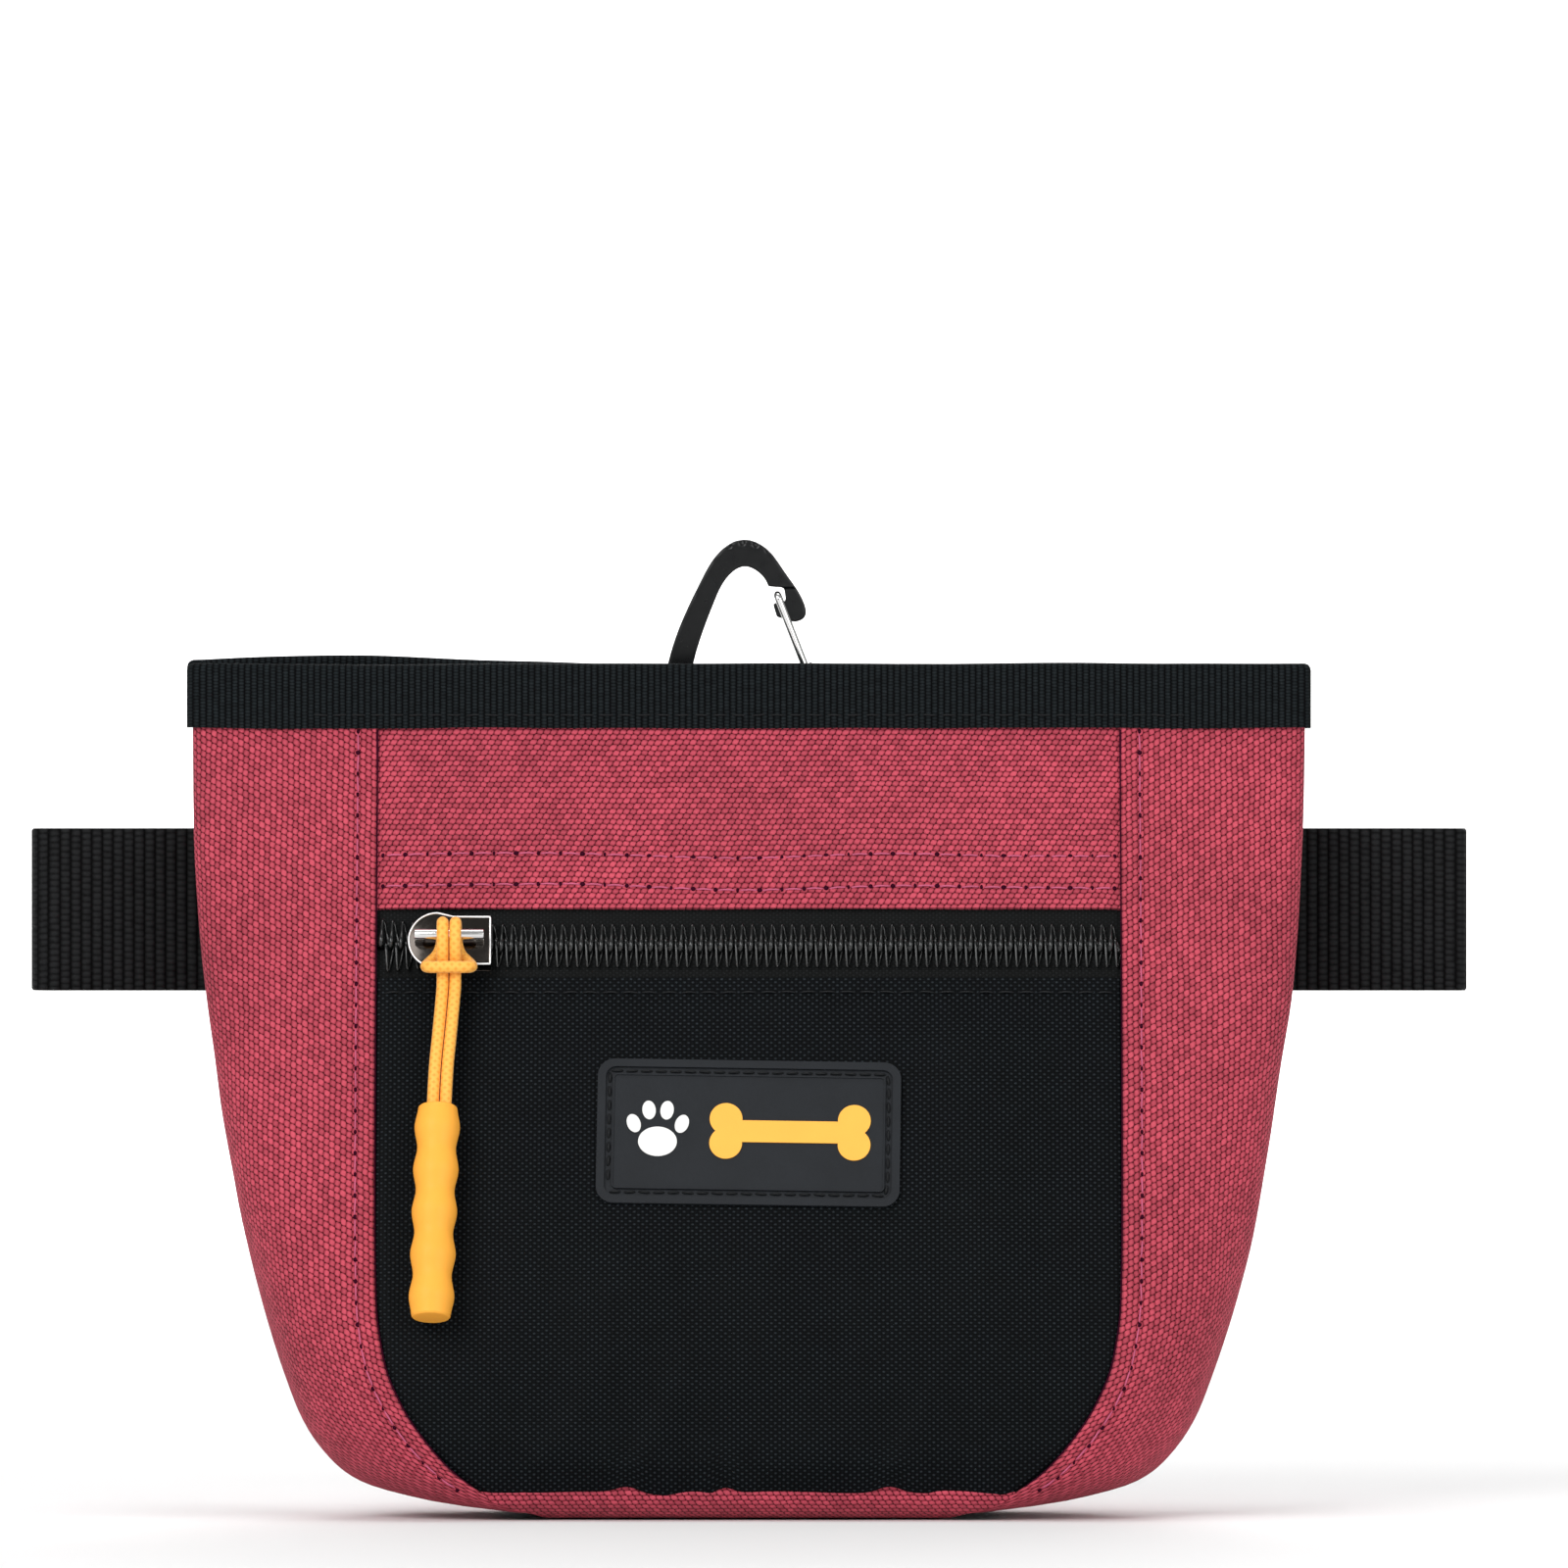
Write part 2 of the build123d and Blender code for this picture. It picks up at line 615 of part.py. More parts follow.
def gate_wire():
    """One bent wire: a bar across the nose's notch, two legs, and two ends in the hinge hole."""
    leg_y = CARABINER_THIN / 2 + WIRE / 2 + 0.15
    top = (GATE_NOSE[0], GATE_NOSE[1])
    points = [
        (GATE_HINGE[0], PIVOT_Y - 0.2, GATE_HINGE[1]),
        (GATE_HINGE[0], PIVOT_Y - leg_y, GATE_HINGE[1]),
        (top[0], PIVOT_Y - leg_y, top[1]),
        (top[0], PIVOT_Y + leg_y, top[1]),
        (GATE_HINGE[0], PIVOT_Y + leg_y, GATE_HINGE[1]),
        (GATE_HINGE[0], PIVOT_Y + 0.2, GATE_HINGE[1]),
    ]
    path = FilletPolyline(*points, radius=0.75)
    start = Plane(origin=points[0], z_dir=(0, -1, 0))
    return leaning(sweep(start * Circle(WIRE / 2), path=path))


# --- Waist belt -------------------------------------------------------------------------
def strip_box(x_low, x_high, y_middle):
    """One straight layer of webbing, as a sketch seen from above."""
    return Pos((x_low + x_high) / 2, y_middle) * Rectangle(x_high - x_low, BELT)


def strip_fold(x_end, y_a, y_b, side):
    """A half turn joining two layers, ending at x_end."""
    middle, radius = (y_a + y_b) / 2, abs(y_b - y_a) / 2
    centre_x = x_end - side * (radius + BELT / 2)
    ring = Circle(radius + BELT / 2) - Circle(radius - BELT / 2)
    half = Pos(side * 10, 0) * Rectangle(20, 40)
    return Pos(centre_x, middle) * (ring & half), centre_x


def waist_belt():
    """Four layers and a tail: through the keepers, folded back and forth, and round both buckle bars."""
    left, right = BELT_ENDS
    first, second, third, fourth = LAYER_Y
    loop_gap = BUCKLE_BAR + BELT + 0.2
    return_y = fourth + loop_gap
    outer_left, left_x = strip_fold(left, first, fourth, -1)
    inner_left, inner_x = strip_fold(left + 2.9, second, third, -1)
    near_right, near_x = strip_fold(right, first, second, 1)
    far_right, far_x = strip_fold(right - 2.2, third, fourth, 1)
    female_turn, female_x = strip_fold(22.5, fourth, return_y, -1)
    male_turn, male_x = strip_fold(-22.5, fourth, return_y, 1)
    sketch = outer_left + inner_left + near_right + far_right + female_turn + male_turn
    sketch += strip_box(left_x, near_x, first)
    sketch += strip_box(inner_x, near_x, second)
    sketch += strip_box(inner_x, far_x, third)
    sketch += strip_box(female_x, far_x, fourth)
    sketch += strip_box(left_x, male_x, fourth)
    for side, turn_x, end_x in ((1, female_x, 52.0), (-1, male_x, -93.0)):
        ramp_low, ramp_high = side * 33.0, side * 42.0
        near, far = return_y - BELT / 2, return_y + BELT / 2
        drop = return_y - TAIL_Y
        tail = [
            (turn_x, near), (ramp_low, near), (ramp_high, near - drop), (end_x, near - drop),
            (end_x, far - drop), (ramp_high, far - drop), (ramp_low, far), (turn_x, far),
        ]
        sketch += make_face(Polyline(*[(x, y, 0) for x, y in tail], close=True))
    return Pos(0, 0, BELT_Z - BELT_WIDTH / 2) * extrude(sketch, amount=BELT_WIDTH)


def belt_slip_loop():
    """A flat loop round the belt and its tail."""
    wall = 0.6
    inside_y = (LAYER_Y[3] - BELT / 2 - 0.25, TAIL_Y + BELT / 2 + 0.25)
    inside_z = (BELT_Z - BELT_WIDTH / 2 - 0.4, BELT_Z + BELT_WIDTH / 2 + 0.4)
    x = (-73.5, -66.5)
    outside = block(
        x, (inside_y[0] - wall, inside_y[1] + wall), (inside_z[0] - wall, inside_z[1] + wall)
    )
    return outside - block((x[0] - 1, x[1] + 1), inside_y, inside_z)


# --- Buckle -----------------------------------------------------------------------------
def buckle_shell(x_low, x_high):
    """A buckle half's outer shape with softened edges."""
    _, thickness, width = BUCKLE
    x_middle = (x_low + x_high) / 2
    shell = Pos(x_middle, BUCKLE_Y, BELT_Z) * Box(x_high - x_low, thickness, width)
    return fillet(shell.edges().filter_by(Axis.X), 2.2)


def webbing_end(side):
    """What is cut from a buckle half so that the webbing can pass round its end bar."""
    end, thickness = BUCKLE[0] / 2, BUCKLE[1]
    width = BELT_WIDTH + 1.2
    slot = block(
        sorted((side * (end - 6.8), side * (end - BUCKLE_BAR_DEPTH))),
        (BUCKLE_Y - thickness, BUCKLE_Y + thickness),
        (BELT_Z - width / 2, BELT_Z + width / 2),
    )
    bar_room = block(
        sorted((side * (end - BUCKLE_BAR_DEPTH - 0.2), side * (end + 1))),
        (BUCKLE_Y - thickness, BUCKLE_Y + thickness),
        (BELT_Z - width / 2, BELT_Z + width / 2),
    )
    bar = block(
        sorted((side * (end - BUCKLE_BAR_DEPTH), side * end)),
        (BUCKLE_Y - BUCKLE_BAR / 2, BUCKLE_Y + BUCKLE_BAR / 2),
        (BELT_Z - 20, BELT_Z + 20),
    )
    return slot + (bar_room - bar)


CAVITY_HALF = 13.4
WINDOW_X = (1.8, 12.2)


def buckle_female():
    """The housing that the prongs snap into, with a window on each edge."""
    half = BUCKLE[2] / 2
    housing = buckle_shell(BUCKLE_SPLIT + 0.3, BUCKLE[0] / 2)
    cavity = block(
        (BUCKLE_SPLIT - 1, 16.0),
        (BUCKLE_Y - 1.9, BUCKLE_Y + 1.9),
        (BELT_Z - CAVITY_HALF, BELT_Z + CAVITY_HALF),
    )
    housing -= cavity
    for side in (-1, 1):
        z = sorted((BELT_Z + side * (CAVITY_HALF - 1), BELT_Z + side * (half + 1)))
        housing -= block(WINDOW_X, (BUCKLE_Y - 2.3, BUCKLE_Y + 2.3), z)
    return housing - webbing_end(1)


def buckle_male():
    """The plug: a webbing end, a solid middle and a guide tongue."""
    plug = buckle_shell(-BUCKLE[0] / 2, BUCKLE_SPLIT)
    tongue = block(
        (BUCKLE_SPLIT - 1, 13.0), (BUCKLE_Y - 1.5, BUCKLE_Y + 1.5), (BELT_Z - 2.2, BELT_Z + 2.2)
    )
    return plug + tongue - webbing_end(-1)


PRONG_ROOT = (BUCKLE_SPLIT + 0.3, 9.6)  # x, and height above the buckle's middle


def buckle_prong(side):
    """One springy arm with a head that fills the housing's window."""
    root_x, arm_z = PRONG_ROOT
    head_x = (WINDOW_X[0] + 0.8, WINDOW_X[1] - 0.9)
    tip_x = head_x[1] + 1.2
    outline = [
        (root_x, arm_z - 1.4), (tip_x, arm_z - 1.2), (tip_x, arm_z + 0.4), (head_x[1], 15.6),
        (head_x[0], 15.2), (head_x[0], arm_z + 1.8), (root_x, arm_z + 1.4),
    ]
    face = make_face(
        Polyline(*[(x, BUCKLE_Y - 1.5, BELT_Z + side * z) for x, z in outline], close=True)
    )
    return extrude(face, amount=3.0, dir=(0, 1, 0))


# --- Write one file for each piece ------------------------------------------------------
NODES = {
    "back_panel": back_panel,
    "base_panel": base_panel,
    "gusset_left_back": lambda: side_gusset(-1, False),
    "gusset_right_back": lambda: side_gusset(1, False),
    "gusset_left_front": lambda: side_gusset(-1, True),
    "gusset_right_front": lambda: side_gusset(1, True),
    "upper_panel": upper_panel,
    "pocket_panel": pocket_panel,
    "pocket_backing": pocket_backing,
    "lining_front": lambda: lining_half(True),
    "lining_back": lambda: lining_half(False),
    "lining_fold_left": lambda: lining_fold(-1),
    "lining_fold_right": lambda: lining_fold(1),
    "lining_base": lining_base,
    "mouth_binding_front": lambda: mouth_binding(True),
    "mouth_binding_back": lambda: mouth_binding(False),
    "magnet_front": lambda: magnet(True),
    "magnet_back": lambda: magnet(False),
    "zip_tape_upper": lambda: zip_tape(1),
    "zip_tape_lower": lambda: zip_tape(-1),
    "zip_coil_upper": lambda: zip_coil(1),
    "zip_coil_lower": lambda: zip_coil(-1),
    "slider_body": slider_body,
    "slider_bridge": slider_bridge,
    "pull_cord_hitch": pull_cord_hitch,
    "pull_cord_strands": pull_cord_strands,
    "pull_grip": pull_grip,
    "badge": badge,
    "badge_paw": badge_paw,
    "badge_bone": badge_bone,
    "belt_keeper_left": lambda: belt_keeper(-1),
    "belt_keeper_right": lambda: belt_keeper(1),
    "hanger_tab": hanger_tab,
    "carabiner_frame": carabiner_frame,
    "gate_wire": gate_wire,
    "waist_belt": waist_belt,
    "belt_slip_loop": belt_slip_loop,
    "buckle_female": buckle_female,
    "buckle_male": buckle_male,
    "buckle_prong_upper": lambda: buckle_prong(1),
    "buckle_prong_lower": lambda: buckle_prong(-1),
}

for node, make in NODES.items():
    export_step(make(), f"parts/{node}.step")
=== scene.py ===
"""The looks of the treat pouch: canvas, nylon, tapes, webbing, thread, zip, cord and hardware.

Metres, in the frame's own axes: +Z up, the front faces -Y, the belt runs along X.
"""

import math

import bmesh
import bpy
import numpy as np
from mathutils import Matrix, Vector, noise


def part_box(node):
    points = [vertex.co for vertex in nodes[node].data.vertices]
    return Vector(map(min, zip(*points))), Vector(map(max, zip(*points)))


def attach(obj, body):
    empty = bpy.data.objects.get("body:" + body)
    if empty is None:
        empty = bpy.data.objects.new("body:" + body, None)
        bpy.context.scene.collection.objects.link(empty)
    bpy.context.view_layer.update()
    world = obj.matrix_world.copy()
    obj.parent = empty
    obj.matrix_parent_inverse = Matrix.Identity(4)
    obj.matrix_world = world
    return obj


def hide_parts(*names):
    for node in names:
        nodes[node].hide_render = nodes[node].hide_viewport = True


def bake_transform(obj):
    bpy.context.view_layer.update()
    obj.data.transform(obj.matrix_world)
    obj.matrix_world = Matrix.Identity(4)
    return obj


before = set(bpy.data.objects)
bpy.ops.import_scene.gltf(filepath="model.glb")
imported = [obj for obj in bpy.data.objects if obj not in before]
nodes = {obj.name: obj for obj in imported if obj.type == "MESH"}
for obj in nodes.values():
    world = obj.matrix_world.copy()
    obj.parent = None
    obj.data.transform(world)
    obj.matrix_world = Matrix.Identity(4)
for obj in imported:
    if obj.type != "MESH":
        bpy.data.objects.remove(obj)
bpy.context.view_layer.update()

MM = 0.001

# --- The pouch's shape ------------------------------------------------------------------
RIM_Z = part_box("back_panel")[1].z
BINDING_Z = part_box("mouth_binding_back")[0].z
BINDING_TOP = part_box("mouth_binding_back")[1].z
BACK_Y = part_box("back_panel")[1].y
CANVAS = 0.9 * MM
FLAT_Z = 117 * MM  # the binding holds the cloth flat above this height
LINING_FRONT_DEPTH = 3.0 * MM
LINING_BACK_DEPTH = 2.1 * MM
LINING_SIDE_DEPTH = 1.3 * MM

# (height, half width) of the silhouette, and of the seams between the centre and the gussets
FOLD = [(0, 30), (0.7, 36), (2.2, 48), (5.1, 58.4), (8.1, 62.4), (14, 66.7), (20, 69.2), (28.7, 72.2),
        (40.4, 75.3), (52.2, 77.7), (64, 79.6), (76, 81.3), (90, 82.8), (105, 83.7), (118, 84.0),
        (128, 84.1)]
SEAM = [(0, 29), (2.2, 36.5), (4.6, 40.6), (7, 43.9), (11.6, 48.1), (16.6, 51.5), (23.4, 54.3), (32.5, 55.6),
        (49, 55.9), (80, 56.0), (128, 56.0)]
FRONT = [(0, -14.5), (1, -17.2), (3, -19.2), (6, -20.2), (10, -20.5), (18, -19.6), (28, -17.4), (73, -2.25),
         (100, 6.9), (114, 11.7), (119, 12.9), (122, 13.0), (128, 13.0)]
BACK = [(0, 16.5), (1, 18.8), (3, 20.3), (6, 21.0), (128, 21.0)]

# Slope of the front wall at the zip, and the frame that lies in it
SLOPE = math.atan2(30.5, 90.0)
ZIP_Z = 85.4 * MM
ZIP_Y = -17.5 * MM + (85.4 - 28.0) / 90.0 * 30.5 * MM
OUT = Vector((0, -math.cos(SLOPE), math.sin(SLOPE)))
UP = Vector((0, math.sin(SLOPE), math.cos(SLOPE)))
ZIP_ORIGIN = Vector((0, ZIP_Y, ZIP_Z))
SLIDER_X = -44.9 * MM

# Height where the gussets and the lining are split into a low and a high band
BEND_KNEE_Z = 28 * MM


# The sides that repeat: (sign of x, name), (is front, name), and the wall with the body it rides on
SIDES = ((-1, "left"), (1, "right"))
HALVES = ((True, "front"), (False, "back"))
WALLS = ((True, "front", "front_wall"), (False, "back", "pouch"))


def curve_through(points):
    """A function through (input, output) points in millimetres, smooth and without overshoot."""
    x = np.array([p[0] for p in points], float)
    y = np.array([p[1] for p in points], float)
    rise = np.diff(y) / np.diff(x)
    slope = np.zeros(len(x))
    same = rise[:-1] * rise[1:] > 0
    slope[1:-1][same] = (2 * rise[:-1] * rise[1:] / (rise[:-1] + rise[1:]))[same]
    slope[0], slope[-1] = rise[0], rise[-1]

    def at(value):
        v = min(max(value / MM, x[0]), x[-1])
        i = min(max(int(np.searchsorted(x, v)) - 1, 0), len(x) - 2)
        h = x[i + 1] - x[i]
        t = (v - x[i]) / h
        a = (1 + 2 * t) * (1 - t) ** 2 * y[i] + t * (1 - t) ** 2 * h * slope[i]
        b = t * t * (3 - 2 * t) * y[i + 1] + t * t * (t - 1) * h * slope[i + 1]
        return float(a + b) * MM

    return at


fold_at = curve_through(FOLD)
seam_at = curve_through(SEAM)
front_at = curve_through(FRONT)
back_at = curve_through(BACK)


def clamp(value):
    """A share kept between 0 and 1."""
    return min(max(value, 0), 1)


def middle_y(z):
    """The y of the side fold at a height."""
    return (front_at(z) + back_at(z)) / 2 + 0.3 * MM


def on_front(x, up, out):
    """A point given along the zip, up the front wall's slope and out of it."""
    return ZIP_ORIGIN + Vector((x, 0, 0)) + UP * up + OUT * out


def wall_normal(z, front):
    """The outward direction of the front or back wall's middle at a height."""
    if not front:
        return Vector((0, 1, 0))
    step = 0.5 * MM
    rise = front_at(z + step) - front_at(z - step)
    return Vector((0, -2 * step, rise)).normalized()


def cloth_noise(x, y, z, size, amount, seed=0.0):
    """Smooth seeded unevenness, the same on each run."""
    return noise.noise(Vector((x, y, z)) / size + Vector((seed, seed * 0.7, -seed))) * amount


def side_section(front, z, depth=0.0):
    """The outline (x, y) of a right-hand gusset at a height, from its seam to the side fold."""
    seam, fold = seam_at(z), fold_at(z)
    face = front_at(z) if front else back_at(z)
    mid = middle_y(z)
    into = 1 if front else -1
    fullness = 2.0 + 2.4 * clamp((z / MM - 28) / 99)
    angle = np.linspace(0, math.pi / 2, 161)
    x = seam + (fold - seam) * np.sin(angle) ** (2 / fullness)
    y = mid + (face - mid) * np.cos(angle) ** (2 / fullness)
    dx, dy = np.gradient(x), np.gradient(y)
    length = np.hypot(dx, dy)
    normal = np.stack([into * dy, -into * dx], axis=1) / length[:, None]
    points = np.stack([x, y], axis=1) - normal * depth
    limit = mid - into * 0.05 * MM
    points[:, 1] = np.minimum(points[:, 1], limit) if front else np.maximum(points[:, 1], limit)
    return points, normal


def along_section(section, offsets):
    """Points, normals and run lengths at distances from the start of a section."""
    points, normal = section
    run = np.concatenate([[0], np.cumsum(np.linalg.norm(np.diff(points, axis=0), axis=1))])
    at = np.minimum(offsets, run[-1])
    place = np.stack([np.interp(at, run, points[:, k]) for k in range(2)], axis=1)
    turn = np.stack([np.interp(at, run, normal[:, k]) for k in range(2)], axis=1)
    return place, turn, at, run[-1]


# --- Mesh building ----------------------------------------------------------------------
def new_object(name, verts, faces, uvs=None, smooth=True):
    """A new mesh object; uvs has one pair for each vertex."""
    mesh = bpy.data.meshes.new(name)
    mesh.from_pydata([tuple(v) for v in verts], [], faces)
    mesh.update()
    if uvs is not None:
        layer = mesh.uv_layers.new(name="UVMap")
        loops = np.zeros(len(mesh.loops), int)
        mesh.loops.foreach_get("vertex_index", loops)
        layer.data.foreach_set("uv", np.array(uvs, float)[loops].ravel())
    if smooth:
        mesh.polygons.foreach_set("use_smooth", [True] * len(mesh.polygons))
    obj = bpy.data.objects.new(name, mesh)
    bpy.context.scene.collection.objects.link(obj)
    return obj


class Sheet:
    """A grid of points with its outward normals; facing is the outward direction at one of them."""

    def __init__(self, rows, uvs, facing, at=None):
        self.points = np.array([[tuple(p) for p in row] for row in rows])
        self.uvs = np.array(uvs, float)
        normal = np.cross(np.gradient(self.points, axis=1), np.gradient(self.points, axis=0))
        normal /= np.maximum(np.linalg.norm(normal, axis=2, keepdims=True), 1e-12)
        j, i = at or (len(rows) // 2, len(rows[0]) // 2)
        self.sign = 1 if np.dot(normal[j, i], facing) > 0 else -1
        self.normals = normal * self.sign


def grid_object(name, sheet, thickness, material, low=0, high=None, open_low=False, open_high=False):
    """A sheet, or some rows of it, thickened inward; rows shared with another object stay open."""
    high = len(sheet.points) if high is None else high
    points, normals = sheet.points[low:high], sheet.normals[low:high]
    count_v, count_u = points.shape[:2]
    total = count_v * count_u
    inner = points - normals * thickness
    verts = np.concatenate([points.reshape(-1, 3), inner.reshape(-1, 3)])
    flat_uv = sheet.uvs[low:high].reshape(-1, 2)
    faces = []
    for j in range(count_v - 1):
        for i in range(count_u - 1):
            a = j * count_u + i
            faces.append((a, a + 1, a + count_u + 1, a + count_u))
            faces.append((total + a + count_u, total + a + count_u + 1, total + a + 1, total + a))
    right_edge = [j * count_u + count_u - 1 for j in range(count_v)]
    left_edge = [j * count_u for j in range(count_v - 1, -1, -1)]
    sides = [right_edge, left_edge]
    if not open_low:
        sides.append(list(range(count_u)))
    if not open_high:
        sides.append([(count_v - 1) * count_u + i for i in range(count_u - 1, -1, -1)])
    cloth_faces = len(faces)
    for side in sides:
        faces += [(b, a, total + a, total + b) for a, b in zip(side, side[1:])]
    if sheet.sign < 0:
        faces = [face[::-1] for face in faces]
    obj = new_object(name, verts, faces, np.concatenate([flat_uv, flat_uv]))
    mesh = obj.data
    for polygon in list(mesh.polygons)[cloth_faces:]:
        polygon.use_smooth = False
    vertex_normals = np.concatenate([normals.reshape(-1, 3), -normals.reshape(-1, 3)])
    loops = np.zeros(len(mesh.loops), int)
    mesh.loops.foreach_get("vertex_index", loops)
    loop_normals = vertex_normals[loops]
    loop_normals[4 * cloth_faces:] = 0
    mesh.normals_split_custom_set([tuple(n) for n in loop_normals])
    obj.data.materials.append(material)
    return obj


def make_outward(obj):
    """Turns every face outward on a closed mesh."""
    work = bmesh.new()
    work.from_mesh(obj.data)
    bmesh.ops.recalc_face_normals(work, faces=work.faces)
    work.to_mesh(obj.data)
    work.free()


def tube_mesh(path, radius, sides=8, flat=1.0, closed_ends=True):
    """Vertices and faces of a round tube along points; flat squeezes it along its second axis."""
    path = [Vector(p) for p in path]
    verts, faces = [], []
    tangent = (path[1] - path[0]).normalized()
    reference = Vector((0, 0, 1)) if abs(tangent.z) < 0.9 else Vector((1, 0, 0))
    first = tangent.cross(reference).normalized()
    for i, p in enumerate(path):
        ahead = path[min(i + 1, len(path) - 1)] - path[max(i - 1, 0)]
        if ahead.length > 1e-9:
            tangent = ahead.normalized()
        first = (first - tangent * first.dot(tangent)).normalized()
        second = tangent.cross(first)
        size = radius[i] if hasattr(radius, "__len__") else radius
        for k in range(sides):
            a = 2 * math.pi * k / sides
            verts.append(p + first * (size * math.cos(a)) + second * (size * flat * math.sin(a)))
    for i in range(len(path) - 1):
        for k in range(sides):
            a, b = i * sides + k, i * sides + (k + 1) % sides
            faces.append((a, b, b + sides, a + sides))
    if closed_ends:
        faces.append(tuple(range(sides - 1, -1, -1)))
        last = (len(path) - 1) * sides
        faces.append(tuple(range(last, last + sides)))
    return verts, faces


def many_tubes(name, tubes, material):
    """One object from many separate tubes, each (path, radius, sides, flat)."""
    verts, faces = [], []
    for path, radius, sides, flat in tubes:
        v, f = tube_mesh(path, radius, sides, flat)
        offset = len(verts)
        verts += v
        faces += [tuple(i + offset for i in face) for face in f]
    obj = new_object(name, verts, faces)
    obj.data.materials.append(material)
    return obj


def resample(points, step):
    """Points evenly spaced along a line of points."""
    pts = np.array([tuple(p) for p in points], float)
    seg = np.linalg.norm(np.diff(pts, axis=0), axis=1)
    dist = np.concatenate([[0], np.cumsum(seg)])
    count = max(int(round(dist[-1] / step)), 2)
    at = np.linspace(0, dist[-1], count + 1)
    return np.stack([np.interp(at, dist, pts[:, k]) for k in range(3)], axis=1)


def stitches(name, line, normal_at, material, pitch=3.3 * MM, share=0.8, radius=0.16 * MM, lift=0.05 * MM):
    """Thread stitches along a line: short arched runs whose ends dip into the cloth."""
    marks = resample(line, pitch)
    tubes = []
    for i, (a, b) in enumerate(zip(marks, marks[1:])):
        a, b = Vector(a), Vector(b)
        n = Vector(normal_at(a))
        wander = cloth_noise(a.x, a.y, a.z, 4 * MM, 0.3 * MM, 3.0 + i * 0.37)
        across = (b - a).cross(n).normalized() * wander
        path = []
        for k in range(7):
            t = k / 6
            arch = math.sin(math.pi * t) * (lift + radius) - radius * 1.4 * (1 - math.sin(math.pi * t))
            path.append(a.lerp(b, 0.5 + (t - 0.5) * share) + n * arch + across * (t - 0.5))
        tubes.append((path, radius, 6, 0.85))
    return many_tubes(name, tubes, material)


def needle_holes(name, line, normal_at, material, pitch=3.3 * MM, size=0.3 * MM):
    """Small dark discs of painted shade where the needle went through, one at each end of a stitch."""
    verts, faces = [], []
    for i, p in enumerate(resample(line, pitch)):
        p = Vector(p)
        n = Vector(normal_at(p))
        side = n.cross(Vector((0, 0, 1))).normalized()
        up = side.cross(n)
        width = size * (1 + 0.35 * math.sin(i * 2.3))
        offset = len(verts)
        for k in range(8):
            a = math.pi * k / 4
            verts.append(p + side * (width * math.cos(a)) + up * (size * 1.2 * math.sin(a)) + n * 0.03 * MM)
        verts.append(p + n * 0.07 * MM)
        faces += [(offset + k, offset + (k + 1) % 8, offset + 8) for k in range(8)]
        faces.append(tuple(offset + k for k in range(7, -1, -1)))
    obj = new_object(name, verts, faces)
    obj.data.materials.append(material)
    return obj


# --- Materials --------------------------------------------------------------------------
class Nodes:
    """A short way to write a material's node tree."""

    def __init__(self, name):
        self.material = bpy.data.materials.new(name)
        self.material.use_nodes = True
        self.tree = self.material.node_tree
        self.shader = self.tree.nodes["Principled BSDF"]

    def add(self, kind, **values):
        node = self.tree.nodes.new(kind)
        for key, value in values.items():
            setattr(node, key, value)
        return node

    def link(self, a, b):
        self.tree.links.new(a, b)

    def math(self, operation, a, b=None):
        node = self.add("ShaderNodeMath", operation=operation)
        for socket, value in zip(node.inputs, (a, b)):
            if value is None:
                continue
            if isinstance(value, (int, float)):
                socket.default_value = value
            else:
                self.link(value, socket)
        return node.outputs[0]

    def plus(self, a, b):
        return self.math("ADD", a, b)

    def minus(self, a, b):
        return self.math("SUBTRACT", a, b)

    def times(self, a, b):
        return self.math("MULTIPLY", a, b)

    def absolute(self, a):
        return self.math("ABSOLUTE", a)

    def uv(self):
        """Distance along the piece and across it, in metres."""
        node = self.add("ShaderNodeUVMap", uv_map="UVMap")
        split = self.add("ShaderNodeSeparateXYZ")
        self.link(node.outputs[0], split.inputs[0])
        return split.outputs[0], split.outputs[1]

    def position(self):
        return self.add("ShaderNodeTexCoord").outputs["Object"]

    def noise(self, vector, scale, detail=3.0, rough=0.55):
        node = self.add("ShaderNodeTexNoise")
        node.inputs["Scale"].default_value = scale
        node.inputs["Detail"].default_value = detail
        node.inputs["Roughness"].default_value = rough
        self.link(vector, node.inputs["Vector"])
        return node.outputs[0]

    def ramp(self, value, stops):
        node = self.add("ShaderNodeValToRGB")
        elements = node.color_ramp.elements
        while len(elements) < len(stops):
            elements.new(0.5)
        for element, (place, colour) in zip(elements, stops):
            element.position = place
            element.color = (*colour, 1)
        self.link(value, node.inputs[0])
        return node.outputs[0]

    def greys(self, value, low, high):
        """A grey level between two (place, level) stops."""
        return self.ramp(value, [(place, (level,) * 3) for place, level in (low, high)])

    def bump(self, height, distance, strength=1.0, after=None):
        node = self.add("ShaderNodeBump")
        node.inputs["Distance"].default_value = distance
        node.inputs["Strength"].default_value = strength
        self.link(height, node.inputs["Height"])
        if after is not None:
            self.link(after, node.inputs["Normal"])
        return node.outputs[0]

    def feed(self, name, source):
        """Links a node's output to one of the shader's sockets."""
        self.link(source, self.shader.inputs[name])

    def set(self, **values):
        """Sets the shader's sockets that are the same all over."""
        for key, value in values.items():
            self.shader.inputs[key.replace("_", " ")].default_value = value


